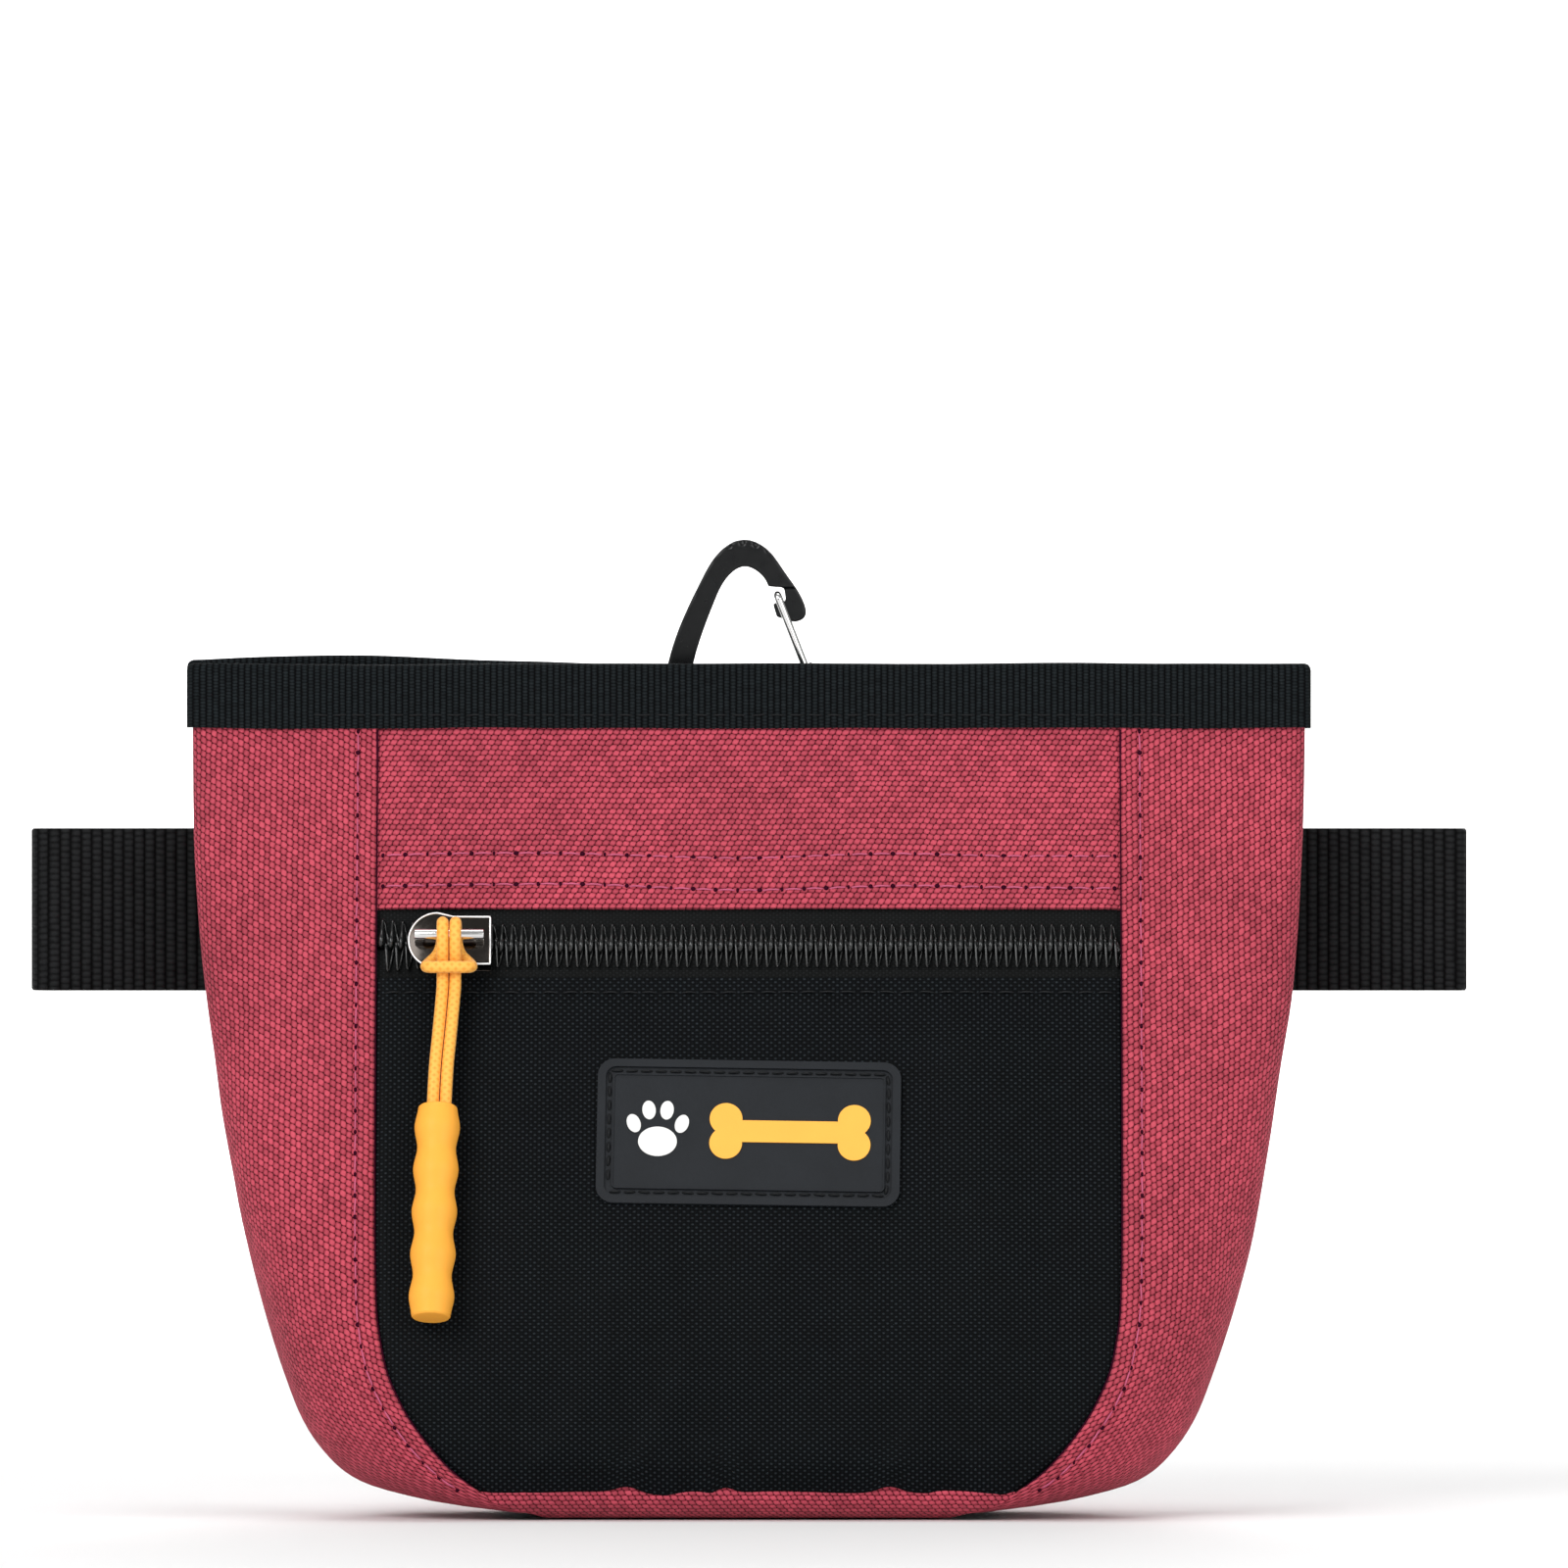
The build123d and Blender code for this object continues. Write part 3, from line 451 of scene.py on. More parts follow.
def slub_weave(n, u, v, cell, row, slant=0.5, wobble=0.75):
    """Coarse plain weave: rows of short slanted slubs, each row half a slub along from the last.
    Returns the height, 0 in the gaps and 1 on top, and a level that differs from slub to slub."""
    uneven = n.noise(n.position(), 260, 2.0)
    shift = n.times(n.minus(uneven, 0.5), wobble)
    rows = n.plus(n.math("DIVIDE", v, row), shift)
    index = n.math("FLOOR", rows)
    half = n.times(n.math("MODULO", index, 2.0), 0.5)
    along = n.plus(n.plus(n.math("DIVIDE", u, cell), half), shift)
    a = n.minus(n.math("FRACT", along), 0.5)
    b = n.minus(n.math("FRACT", rows), 0.5)
    turned_a = n.minus(a, n.times(b, slant))
    turned_b = n.plus(b, n.times(a, slant))
    long = n.math("POWER", n.absolute(n.times(turned_a, 1.95)), 4.5)
    short = n.math("POWER", n.absolute(n.times(turned_b, 1.9)), 2.2)
    rise = n.minus(n.minus(1.0, n.times(long, 0.8)), n.times(short, 0.5))
    height = n.math("MAXIMUM", rise, 0.0)
    join = n.add("ShaderNodeCombineXYZ")
    n.link(n.math("FLOOR", along), join.inputs[0])
    n.link(index, join.inputs[1])
    white = n.add("ShaderNodeTexWhiteNoise", noise_dimensions="2D")
    n.link(join.outputs[0], white.inputs["Vector"])
    return height, white.outputs["Value"]


def fine_weave(n, u, v, pitch_u, pitch_v, wobble=0.12):
    """Fine plain weave: rounded threads that pass over and under, from 0 in the gaps to 1 on top."""
    uneven = n.noise(n.position(), 420, 2.0)
    shift = n.times(n.minus(uneven, 0.5), wobble * 2 * math.pi)
    a = n.math("SINE", n.plus(n.times(u, math.pi / pitch_u), shift))
    b = n.math("SINE", n.plus(n.times(v, math.pi / pitch_v), shift))
    body = n.times(n.absolute(a), n.absolute(b))
    raised = n.times(n.plus(n.times(a, b), 1.0), 0.5)
    return n.plus(n.times(body, 0.55), n.times(raised, 0.45))


def tinted(n, colour, factor, blend="MULTIPLY"):
    """A colour times a grey level."""
    mix = n.add("ShaderNodeMixRGB", blend_type=blend)
    mix.inputs[0].default_value = 1.0
    n.link(colour, mix.inputs[1])
    n.link(factor, mix.inputs[2])
    return mix.outputs[0]


def coarse_cloth(name, dark, middle, light, cell, row, bump, rough, sheen):
    """Canvas of thick dyed cotton yarn, with painted shade in the gaps between its slubs and painted light
    on their tops.
    """
    n = Nodes(name)
    u, v = n.uv()
    height, level = slub_weave(n, u, v, cell, row)
    uneven = n.plus(height, n.times(n.minus(level, 0.5), 0.14))
    # Colour from the weave's height: painted shade in the gaps, the yarn's red in between, painted light on
    # the slub tops.
    colour = n.ramp(uneven, [(0.02, dark), (0.42, middle), (0.95, light)])
    colour = tinted(n, colour, n.greys(level, (0.0, 0.8), (1.0, 1.08)))
    patches = n.noise(n.position(), 48, 4.0)
    colour = tinted(n, colour, n.greys(patches, (0.3, 0.86), (0.7, 1.06)))
    n.feed("Base Color", colour)
    fibres = n.noise(n.position(), 3400, 3.0)
    first = n.bump(fibres, 0.07 * MM, 0.7)
    n.feed("Normal", n.bump(height, bump, 1.0, first))
    n.feed("Roughness", n.greys(fibres, (0.2, rough - 0.08), (0.8, rough + 0.06)))
    n.set(Sheen_Weight=sheen, Sheen_Roughness=0.5, Specular_IOR_Level=0.15)
    n.shader.inputs["Sheen Tint"].default_value = (0.9, 0.35, 0.4, 1)
    return n.material


def fine_cloth(name, dark, middle, light, pitch_u, pitch_v, bump, rough, tint=0.12, specular=0.05):
    """Thin synthetic cloth coloured from painted shade in its gaps to painted light on the tops of its
    threads.
    """
    n = Nodes(name)
    u, v = n.uv()
    height = fine_weave(n, u, v, pitch_u, pitch_v)
    # Painted shade in the gaps between threads, painted light on their tops.
    colour = n.ramp(height, [(0.1, dark), (0.5, middle), (0.95, light)])
    streaks = n.noise(n.position(), 320, 5.0)
    colour = tinted(n, colour, n.greys(streaks, (0.3, 1 - 2.5 * tint), (0.7, 1 + tint)))
    n.feed("Base Color", colour)
    n.feed("Normal", n.bump(height, bump))
    n.feed("Roughness", n.greys(streaks, (0.2, rough - 0.06), (0.8, rough + 0.08)))
    n.set(Specular_IOR_Level=specular)
    return n.material


def ribbed(name, dark, light, rib, bead, bump, rough, contrast=1.0):
    """Ribbed tape or webbing: ribs across its length, each a row of small woven beads."""
    n = Nodes(name)
    u, v = n.uv()
    ribs = n.absolute(n.math("SINE", n.times(u, math.pi / rib)))
    offset = n.times(n.math("FLOOR", n.math("DIVIDE", u, rib)), bead / 2)
    beads = n.absolute(n.math("SINE", n.times(n.plus(v, offset), math.pi / bead)))
    height = n.times(n.math("POWER", ribs, 0.7), n.plus(n.times(beads, 0.6), 0.4))
    wear_and_highlight = n.noise(n.position(), 900, 3.0)
    # The colour runs from painted shade between the ribs to painted light on their tops, made patchy by a
    # noise that also varies the roughness.
    level = n.times(height, n.plus(n.times(wear_and_highlight, contrast), 0.3))
    n.feed("Base Color", n.ramp(level, [(0.15, dark), (0.85, light)]))
    n.feed("Normal", n.bump(height, bump))
    n.feed("Roughness", n.greys(wear_and_highlight, (0.3, rough - 0.08), (0.7, rough + 0.08)))
    n.set(Specular_IOR_Level=0.05)
    return n.material


def moulded(name, colour, rough, grain_scale, grain, coat=0.0, spread=0.12, specular=0.4):
    """Moulded plastic or rubber with a fine grain and slightly uneven gloss."""
    n = Nodes(name)
    fine = n.noise(n.position(), grain_scale, 4.0)
    large = n.noise(n.position(), 140, 3.0)
    low = tuple(c * (1 - spread) for c in colour)
    high = tuple(min(c * (1 + spread), 1) for c in colour)
    n.feed("Base Color", n.ramp(large, [(0.3, low), (0.7, high)]))
    n.feed("Normal", n.bump(fine, grain))
    n.feed("Roughness", n.greys(fine, (0.3, rough - 0.05), (0.7, rough + 0.07)))
    n.set(Coat_Weight=coat, Coat_Roughness=0.25, Specular_IOR_Level=specular)
    return n.material


def metal(name, colour, rough):
    """Plated metal with faint polishing marks."""
    n = Nodes(name)
    fine = n.noise(n.position(), 1500, 3.0)
    n.feed("Base Color", n.ramp(fine, [(0.3, tuple(c * 0.93 for c in colour)), (0.7, colour)]))
    n.feed("Roughness", n.greys(fine, (0.3, rough), (0.8, rough + 0.1)))
    n.feed("Normal", n.bump(fine, 0.004 * MM, 0.5))
    n.set(Metallic=1.0)
    return n.material


def braid(name, dark, light):
    """Braided cord: two sets of strands that cross along it, by u along and v round the cord."""
    n = Nodes(name)
    u, v = n.uv()
    along = n.times(u, 2 * math.pi / (1.1 * MM))
    around = n.times(v, 2 * math.pi * 4)
    first = n.math("SINE", n.plus(along, around))
    second = n.math("SINE", n.minus(along, around))
    height = n.plus(n.times(n.math("MAXIMUM", first, second), 0.5), 0.5)
    # Colour from the strands' height: painted shade where a strand dips under the other set, painted light
    # on the strand tops.
    n.feed("Base Color", n.ramp(height, [(0.1, dark), (0.8, light)]))
    n.feed("Normal", n.bump(height, 0.05 * MM, 0.6))
    n.set(Roughness=0.6, Sheen_Weight=0.2, Sheen_Roughness=0.4)
    return n.material


canvas = coarse_cloth("canvas", (0.06, 0.001, 0.004), (0.33, 0.031, 0.054), (0.52, 0.072, 0.108), 1.05 * MM,
                      0.84 * MM, 0.2 * MM, 0.85, 0.12)
nylon = fine_cloth("nylon", (0.0004, 0.0008, 0.001), (0.0016, 0.0024, 0.0032), (0.021, 0.026, 0.03),
                   0.62 * MM, 0.5 * MM, 0.08 * MM, 0.5)
lining = fine_cloth("lining", (0.008, 0.008, 0.01), (0.018, 0.019, 0.022), (0.03, 0.032, 0.036), 0.4 * MM,
                    0.4 * MM, 0.03 * MM, 0.5)
zip_cloth = fine_cloth("zip_cloth", (0.002, 0.002, 0.002), (0.006, 0.007, 0.007), (0.014, 0.015, 0.016),
                       0.5 * MM, 0.35 * MM, 0.05 * MM, 0.7, specular=0.1)
binding = ribbed("binding", (0.0008, 0.001, 0.0013), (0.0145, 0.0185, 0.0205), 0.95 * MM, 0.5 * MM,
                 0.12 * MM, 0.8)
webbing = ribbed("webbing", (0.0005, 0.0005, 0.0006), (0.0135, 0.014, 0.0147), 1.6 * MM, 0.95 * MM,
                 0.25 * MM, 0.55, 1.3)
thread_red = moulded("thread_red", (0.50, 0.10, 0.19), 0.6, 2200, 0.03 * MM, specular=0.2)
thread_black = moulded("thread_black", (0.007, 0.008, 0.009), 0.55, 2200, 0.03 * MM, specular=0.2)
# Dark red painted shade, for the needle holes and the seam joints.
painted_shade = moulded("painted_shade", (0.035, 0.002, 0.012), 0.95, 900, 0.02 * MM, specular=0.05)
coil_plastic = moulded("coil_plastic", (0.006, 0.007, 0.007), 0.2, 900, 0.003 * MM, specular=0.6)
grip_rubber = moulded("grip_rubber", (0.96, 0.42, 0.05), 0.5, 1400, 0.02 * MM, spread=0.03, specular=0.25)
badge_rubber = moulded("badge_rubber", (0.010, 0.012, 0.015), 0.5, 1600, 0.025 * MM, specular=0.2)
motif_amber = moulded("motif_amber", (0.92, 0.44, 0.055), 0.5, 1600, 0.02 * MM, spread=0.03)
motif_white = moulded("motif_white", (0.82, 0.82, 0.8), 0.5, 1600, 0.02 * MM, spread=0.03)
nylon_gloss = moulded("nylon_gloss", (0.0025, 0.003, 0.0035), 0.3, 700, 0.008 * MM, specular=0.28)
acetal = moulded("acetal", (0.010, 0.011, 0.012), 0.42, 1800, 0.03 * MM, specular=0.3)
magnet_rubber = moulded("magnet_rubber", (0.02, 0.02, 0.02), 0.7, 900, 0.02 * MM)
gunmetal = metal("gunmetal", (0.055, 0.048, 0.043), 0.12)
# Near-white metal for painted highlights on the slider's edges.
highlight_metal = metal("highlight_metal", (0.95, 0.95, 0.94), 0.42)
bright_metal = metal("bright_metal", (0.78, 0.78, 0.77), 0.12)
cord_braid = braid("cord_braid", (0.84, 0.33, 0.03), (0.97, 0.47, 0.07))


# --- Cloth pieces -----------------------------------------------------------------------
# (distance from the seam, height) of the gusset's turned and topstitched edge, in millimetres
EDGE_PROFILE = [(0, -0.4), (0.12, 0.35), (0.4, 0.78), (1.0, 0.9), (1.7, 0.84), (2.3, 0.66), (2.65, 0.42),
                (2.9, 0.28), (3.15, 0.44), (3.5, 0.62), (5.2, 0.55), (9, 0.15), (14, 0)]
PANEL_ROWS = (94.1 * MM, 98.8 * MM)
POCKET_ROW = 78.4 * MM


def wall_measures(front, low, high, depth, wave, seed, gather=0.0, stitch_rows=()):
    """One front or back wall piece: its heights, its depth in the wall, and how uneven it is."""
    return {"front": front, "low": low, "high": high, "depth": depth, "wave": wave, "seed": seed,
            "gather": gather, "stitch_rows": stitch_rows}


UPPER = wall_measures(True, 91.0 * MM, RIM_Z, -0.05 * MM, 0.35 * MM, 2.0, stitch_rows=PANEL_ROWS)
POCKET = wall_measures(True, 4.1 * MM, 80.6 * MM, 0.1 * MM, 0.55 * MM, 4.0, 1.15 * MM, (POCKET_ROW,))
BACKING = wall_measures(True, 3.0 * MM, RIM_Z, 2.6 * MM, 0.1 * MM, 6.0)
BACK_WALL = wall_measures(False, 3.5 * MM, RIM_Z, -0.05 * MM, 0.2 * MM, 9.0)


def heights(low, high, fine_below=8 * MM):
    """Row heights, closer together near the base where the cloth turns under."""
    rows, z = [], low
    while z < high - 0.3 * MM:
        rows.append(z)
        z += 0.7 * MM if z < fine_below else (1.4 * MM if z < 30 * MM else 2.2 * MM)
    rows.append(high)
    return rows


def bend(obj, front):
    """Bakes the piece's place into its mesh, the front half and the back half alike."""
    if front:
        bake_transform(obj)
    else:
        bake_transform(obj)


def gusset_pieces():
    """The two canvas gussets: each a front and a back half, in a low and a high band."""
    rows_z = heights(0.9 * MM, BEND_KNEE_Z) + heights(BEND_KNEE_Z, RIM_Z)[1:]
    knee = rows_z.index(BEND_KNEE_Z)
    for side, side_name in SIDES:
        for front, half in HALVES:
            rows, uvs = [], []
            for z in rows_z:
                total = along_section(side_section(front, z), np.array([0.0]))[3]
                row, run = gusset_row(side, front, z, seam_steps(total))
                rows.append(row)
                uvs.append([(z * 1.02, r) for r in run])
            sheet = Sheet(rows, uvs, wall_normal(60 * MM, front), (len(rows) // 2, 4))
            name = f"gusset_cloth_{side_name}_{half}"
            low = grid_object(f"{name}_low", sheet, CANVAS * 0.9, canvas, 0, knee + 1,
                              open_high=True)
            high = grid_object(f"{name}_high", sheet, CANVAS * 0.9, canvas, knee, open_low=True)
            bend(low, front)
            bend(high, front)
            for piece in (low, high):
                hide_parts(f"gusset_{side_name}_{half}")


def gusset_row(side, front, z, offsets):
    """Canvas points along a gusset at a height, at distances from the seam, with run lengths."""
    place, turn, at, total = along_section(side_section(front, z), offsets)
    top_fade = clamp((FLAT_Z - z) / (9 * MM))
    low_fade = clamp((z - 2.5 * MM) / (4 * MM))
    row = []
    for (x, y), (nx, ny), run in zip(place, turn, at):
        proud = float(np.interp(run / MM, [p[0] for p in EDGE_PROFILE], [p[1] for p in EDGE_PROFILE])) * MM
        proud *= low_fade * (0.35 + 0.65 * top_fade)
        share = clamp((run - 5 * MM) / (total - 5 * MM))
        soft = math.sin(math.pi * share) ** 0.8 * min(z / (12 * MM), 1) * top_fade
        uneven = cloth_noise(side * x, y, z, 30 * MM, 1.5 * MM, 1.3)
        uneven += cloth_noise(side * x, y, z, 11 * MM, 0.5 * MM, 5.1)
        creases = 0.5 * MM * math.sin(z / (2.4 * MM) + 5 * share) * math.exp(-z / (9 * MM))
        tuck = 0.5 * MM * math.exp(-run / (2.5 * MM)) * (1 - low_fade)
        lift = proud - tuck + max((uneven + creases + 0.35 * MM) * soft, -0.15 * MM)
        row.append(Vector((side * (x + nx * lift), y + ny * lift, z)))
    return row, at


def seam_steps(total):
    """Distances from the seam: close together over the stitched edge, then even up to the fold."""
    near = [0, 0.12, 0.4, 1.0, 1.7, 2.3, 2.65, 2.9, 3.15, 3.5, 4.2, 5.2]
    rest = np.linspace(5.2, total / MM, 25)[1:]
    return np.array(near + list(rest)) * MM


def wall_point(wall, x, z):
    """A point on the surface of a front or back wall piece, with its soft unevenness."""
    low, high, wave, seed = wall["low"], wall["high"], wall["wave"], wall["seed"]
    front = wall["front"]
    if wall["gather"] and z < low + 9 * MM:
        z += (1 - (z - low) / (9 * MM)) * wall["gather"] * pucker(x)
    half = seam_at(z)
    normal = wall_normal(z, front)
    across = max(math.cos(math.pi / 2 * min(abs(x) / half, 1)), 0) ** 0.5
    soft = across * clamp((z - low) / (4 * MM)) * clamp((min(high, FLAT_Z) - z) / (5 * MM))
    lift = cloth_noise(x, z, seed, 26 * MM, wave * 1.6, seed)
    lift += cloth_noise(x, z, seed, 9 * MM, wave * 0.5, 1.0)
    if wall["gather"]:
        lift = lift * (1 - 0.9 * under_badge(x, z)) + gathers(x, z - low)
    lift = max(lift + wave * 0.5 * (1 - under_badge(x, z)), -0.1 * MM) * soft
    for row in wall["stitch_rows"]:
        lift -= 0.25 * MM * math.exp(-((z - row) / (0.7 * MM)) ** 2)
    lift -= 0.35 * MM * math.exp(-(max(half - abs(x), 0) / (0.9 * MM)) ** 2)
    face = front_at(z) if front else back_at(z)
    return Vector((x, face, z)) + normal * (lift - wall["depth"])


def under_badge(x, z):
    """1 where the badge is sewn down, falling to 0 around it."""
    aside = max(abs(x) - 24 * MM, 0) / (6 * MM)
    above = max(abs(z - 57.2 * MM) - 12 * MM, 0) / (6 * MM)
    return math.exp(-(aside ** 2 + above ** 2))


# Soft folds above the pocket's lower edge: (x, lean, size), in millimetres
GATHERS = ((-18, 0.5, 0.9), (-3.5, -0.3, 0.8), (21, 0.45, 1.0), (35, -0.6, 0.7), (-34, 0.7, 0.6))
# Puckers of the edge itself: (x, width), in millimetres
PUCKERS = ((-18, 2.2), (-3.5, 1.7), (21, 2.2))


def gathers(x, height):
    """Soft folds that rise from the places where the pocket is gathered along its lower edge."""
    lift = 0.0
    for place, lean, size in GATHERS:
        centre = place * MM + lean * height
        lift += size * MM * math.exp(-((x - centre) / (2.6 * MM)) ** 2) * math.exp(-height / (11 * MM))
    return lift


def wall_sheet(name, wall, thickness, material, inset, columns=64, step=1.6 * MM):
    """A sheet across the middle of the front or back wall, between its seams."""
    low, high = wall["low"], wall["high"]
    count = int((high - low) / step)
    fine = [low + 8 * MM * k / 14 for k in range(14)] if low < 10 * MM else []
    start = low + 8 * MM if fine else low
    rows_z = fine + [start + (high - start) * k / count for k in range(count + 1)]
    rows, uvs = [], []
    for z in rows_z:
        half = seam_at(z) - inset
        shares = [2 * i / columns - 1 for i in range(columns + 1)]
        row = [wall_point(wall, half * share * (1.5 - 0.5 * share ** 2), z) for share in shares]
        rows.append(row)
        uvs.append([(p.x, z * 1.055) for p in row])
    sheet = Sheet(rows, uvs, wall_normal(60 * MM, wall["front"]))
    return grid_object(name, sheet, thickness, material)


def pucker(x):
    """How far the pocket's lower edge rises along its width, as a share: gathers at a few places."""
    rise = 0.22 * math.sin(x / (6.5 * MM)) + 0.16 * math.sin(x / (3.7 * MM) + 1.0) - 0.15
    for place, width in PUCKERS:
        rise += 0.9 * math.exp(-((x - place * MM) / (width * MM)) ** 2)
    return rise


def front_wall_pieces():
    """The upper panel, the pocket, its backing and the zip's tapes."""
    upper = wall_sheet("upper_panel_cloth", UPPER, CANVAS, canvas, -0.6 * MM)
    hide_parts("upper_panel")
    pocket = wall_sheet("pocket_cloth", POCKET, 0.6 * MM, nylon, -0.4 * MM, 110, 1.2 * MM)
    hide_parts("pocket_panel")
    inner = wall_sheet("backing_cloth", BACKING, 0.35 * MM, nylon, 1 * MM, 40, 4 * MM)
    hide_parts("pocket_backing")
    for piece in (upper, pocket, inner):
        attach(piece, "front_wall")
    tapes()


def tapes():
    """The zip's two tapes, a little uneven, with their outer edges hidden under the panels."""
    for side, name in ((1, "upper"), (-1, "lower")):
        rows, uvs = [], []
        for k in range(13):
            up = side * (0.45 + 8.6 * k / 12) * MM
            row = []
            for i in range(57):
                x = (-56.5 + 113.0 * i / 56) * MM
                out = -1.12 * MM + cloth_noise(x, up, 0, 9 * MM, 0.05 * MM, 7.0)
                row.append(on_front(x, up, out))
            rows.append(row)
            uvs.append([(p.x, up) for p in row])
        tape = grid_object(f"zip_tape_cloth_{name}", Sheet(rows, uvs, OUT), 0.35 * MM, zip_cloth)
        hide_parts(f"zip_tape_{name}")
        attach(tape, "front_wall")


def back_and_base():
    """The back panel, and the base that turns up at the front and back."""
    back = wall_sheet("back_cloth", BACK_WALL, CANVAS, canvas, -0.5 * MM, 40, 3 * MM)
    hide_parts("back_panel")
    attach(back, "pouch")
    climb = [5.2, 4.7, 4.2, 3.7, 3.2, 2.7, 2.2, 1.8, 1.4, 1.0, 0.7, 0.45, 0.25, 0.1]
    profile = [(front_at(z * MM) + 0.35 * MM, z * MM) for z in climb]
    front_y, back_y = profile[-1][0], back_at(0.1 * MM) - 0.3 * MM
    profile += [(front_y + (back_y - front_y) * i / 24, 0.04 * MM) for i in range(1, 24)]
    profile += [(back_at(z * MM) - 0.3 * MM, z * MM) for z in climb[::-1]]
    rows, uvs, run, last = [], [], 0.0, None
    for y, z in profile:
        run += 0 if last is None else math.hypot(y - last[0], z - last[1])
        last = (y, z)
        half = seam_at(z) + 0.8 * MM
        row = []
        for i in range(97):
            x = half * (2 * i / 96 - 1)
            row.append(Vector((x, y + base_fold(x, y, z, half) * (-1 if y < 0 else 1), z)))
        rows.append(row)
        uvs.append([(p.x, run) for p in row])
    middle = (len(profile) // 2, 48)
    base = grid_object("base_cloth", Sheet(rows, uvs, (0, 0, -1), middle), 0.5 * MM, canvas)
    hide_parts("base_panel")
    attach(base, "pouch")


def base_fold(x, y, z, half):
    """How far the base cloth bulges where it turns up: a soft seam roll that tucks in at its ends."""
    if z < 0.3 * MM:
        return 0.0
    roll = 0.35 * MM * math.sin(math.pi * min(z / (4.5 * MM), 1))
    end = math.exp(-((half - abs(x)) / (12 * MM)) ** 2)
    crease = 0.3 * MM * math.sin(z / (1.3 * MM) + abs(x) / (6 * MM)) * end
    tuck = clamp((abs(x) - half + 3 * MM) / (3 * MM))
    return roll + crease + cloth_noise(x, y, z, 8 * MM, 0.3 * MM, 8.0) - 0.3 * MM * tuck


def lining_row(side, front, z, count=24):
    """Lining points at a height, from the wall's middle to the side fold."""
    depth = LINING_FRONT_DEPTH if front else LINING_BACK_DEPTH
    into = 1 if front else -1
    centre = (front_at(z) if front else back_at(z)) + into * depth
    section = side_section(front, z, LINING_SIDE_DEPTH)
    total = along_section(section, np.array([0.0]))[3]
    place = along_section(section, np.linspace(3 * MM, total, count))[0]
    edge = seam_at(z) - 1.5 * MM
    row = [Vector((side * edge * k / 9, centre, z)) for k in range(10)]
    for k, (x, y) in enumerate(place):
        ease = min(k / 7, 1)
        ease = ease * ease * (3 - 2 * ease)
        inner = centre + (y - centre) * ease
        row.append(Vector((side * x, max(inner, y) if front else min(inner, y), z)))
    return row


def lining_pieces():
    """The lining's four quarters, each in a low and a high band, and its floor."""
    rows_z = heights(2.2 * MM, BEND_KNEE_Z) + heights(BEND_KNEE_Z, RIM_Z - 0.5 * MM)[1:]
    knee = rows_z.index(BEND_KNEE_Z)
    for side, side_name in SIDES:
        for front, half in HALVES:
            rows = [lining_row(side, front, z) for z in rows_z]
            uvs = [[(p.x, p.z) for p in row] for row in rows]
            sheet = Sheet(rows, uvs, wall_normal(60 * MM, front), (len(rows) // 2, 4))
            name = f"lining_cloth_{side_name}_{half}"
            low = grid_object(f"{name}_low", sheet, 0.25 * MM, lining, 0, knee + 1,
                              open_high=True)
            high = grid_object(f"{name}_high", sheet, 0.25 * MM, lining, knee, open_low=True)
            bend(low, front)
            bend(high, front)
            for piece in (low, high):
                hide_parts(f"lining_{half}")
                if not front:
                    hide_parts(f"lining_fold_{side_name}")
    rows = []
    for k in range(17):
        share = 2 * k / 16 - 1
        row = []
        for i in range(41):
            x = 44 * MM * (2 * i / 40 - 1)
            half_y = 15.2 * MM * (1 - 0.35 * (abs(x) / (44 * MM)) ** 3)
            z = 2.2 * MM + cloth_noise(x, share, 0, 15 * MM, 0.3 * MM)
            row.append(Vector((x, 0.8 * MM + share * half_y, z)))
        rows.append(row)
    uvs = [[(p.x, p.y) for p in row] for row in rows]
    floor = grid_object("lining_floor", Sheet(rows, uvs, (0, 0, 1)), 0.3 * MM, lining)
    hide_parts("lining_base")
    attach(floor, "pouch")


def binding_pieces():
    """Ribbed tape folded over the rim, in four quarters that meet at the side folds."""
    for side, side_name in SIDES:
        for front, half in HALVES:
            rows, uvs, run, last = [], [], 0.0, None
            for across, z in binding_profile():
                row, lengths = binding_row(side, front, across, z)
                here = (row[0].y, row[0].z)
                run += 0 if last is None else math.hypot(here[0] - last[0], here[1] - last[1])
                last = here
                rows.append(row)
                uvs.append([(length, run) for length in lengths])
            outward = (0, -1, 0) if front else (0, 1, 0)
            sheet = Sheet(rows, uvs, outward, (1, 3))
            obj = grid_object(f"binding_cloth_{side_name}_{half}", sheet, 0.4 * MM, binding)
            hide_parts(f"mouth_binding_{half}")
            bend(obj, front)


def binding_profile():
    """The folded tape's section: (0 outside the wall to 1 inside it, height)."""
    top = BINDING_TOP
    outside = [(0.0, BINDING_Z + 1.35 * MM * k) for k in range(6)]
    over = [(0.0, top - 1.1 * MM), (0.05, top - 0.6 * MM), (0.16, top - 0.22 * MM), (0.34, top - 0.03 * MM),
            (0.66, top - 0.03 * MM), (0.84, top - 0.22 * MM), (0.95, top - 0.6 * MM), (1.0, top - 1.1 * MM)]
    inside = [(1.0, BINDING_Z + 4.5 * MM), (1.0, BINDING_Z)]
    return outside + over + inside


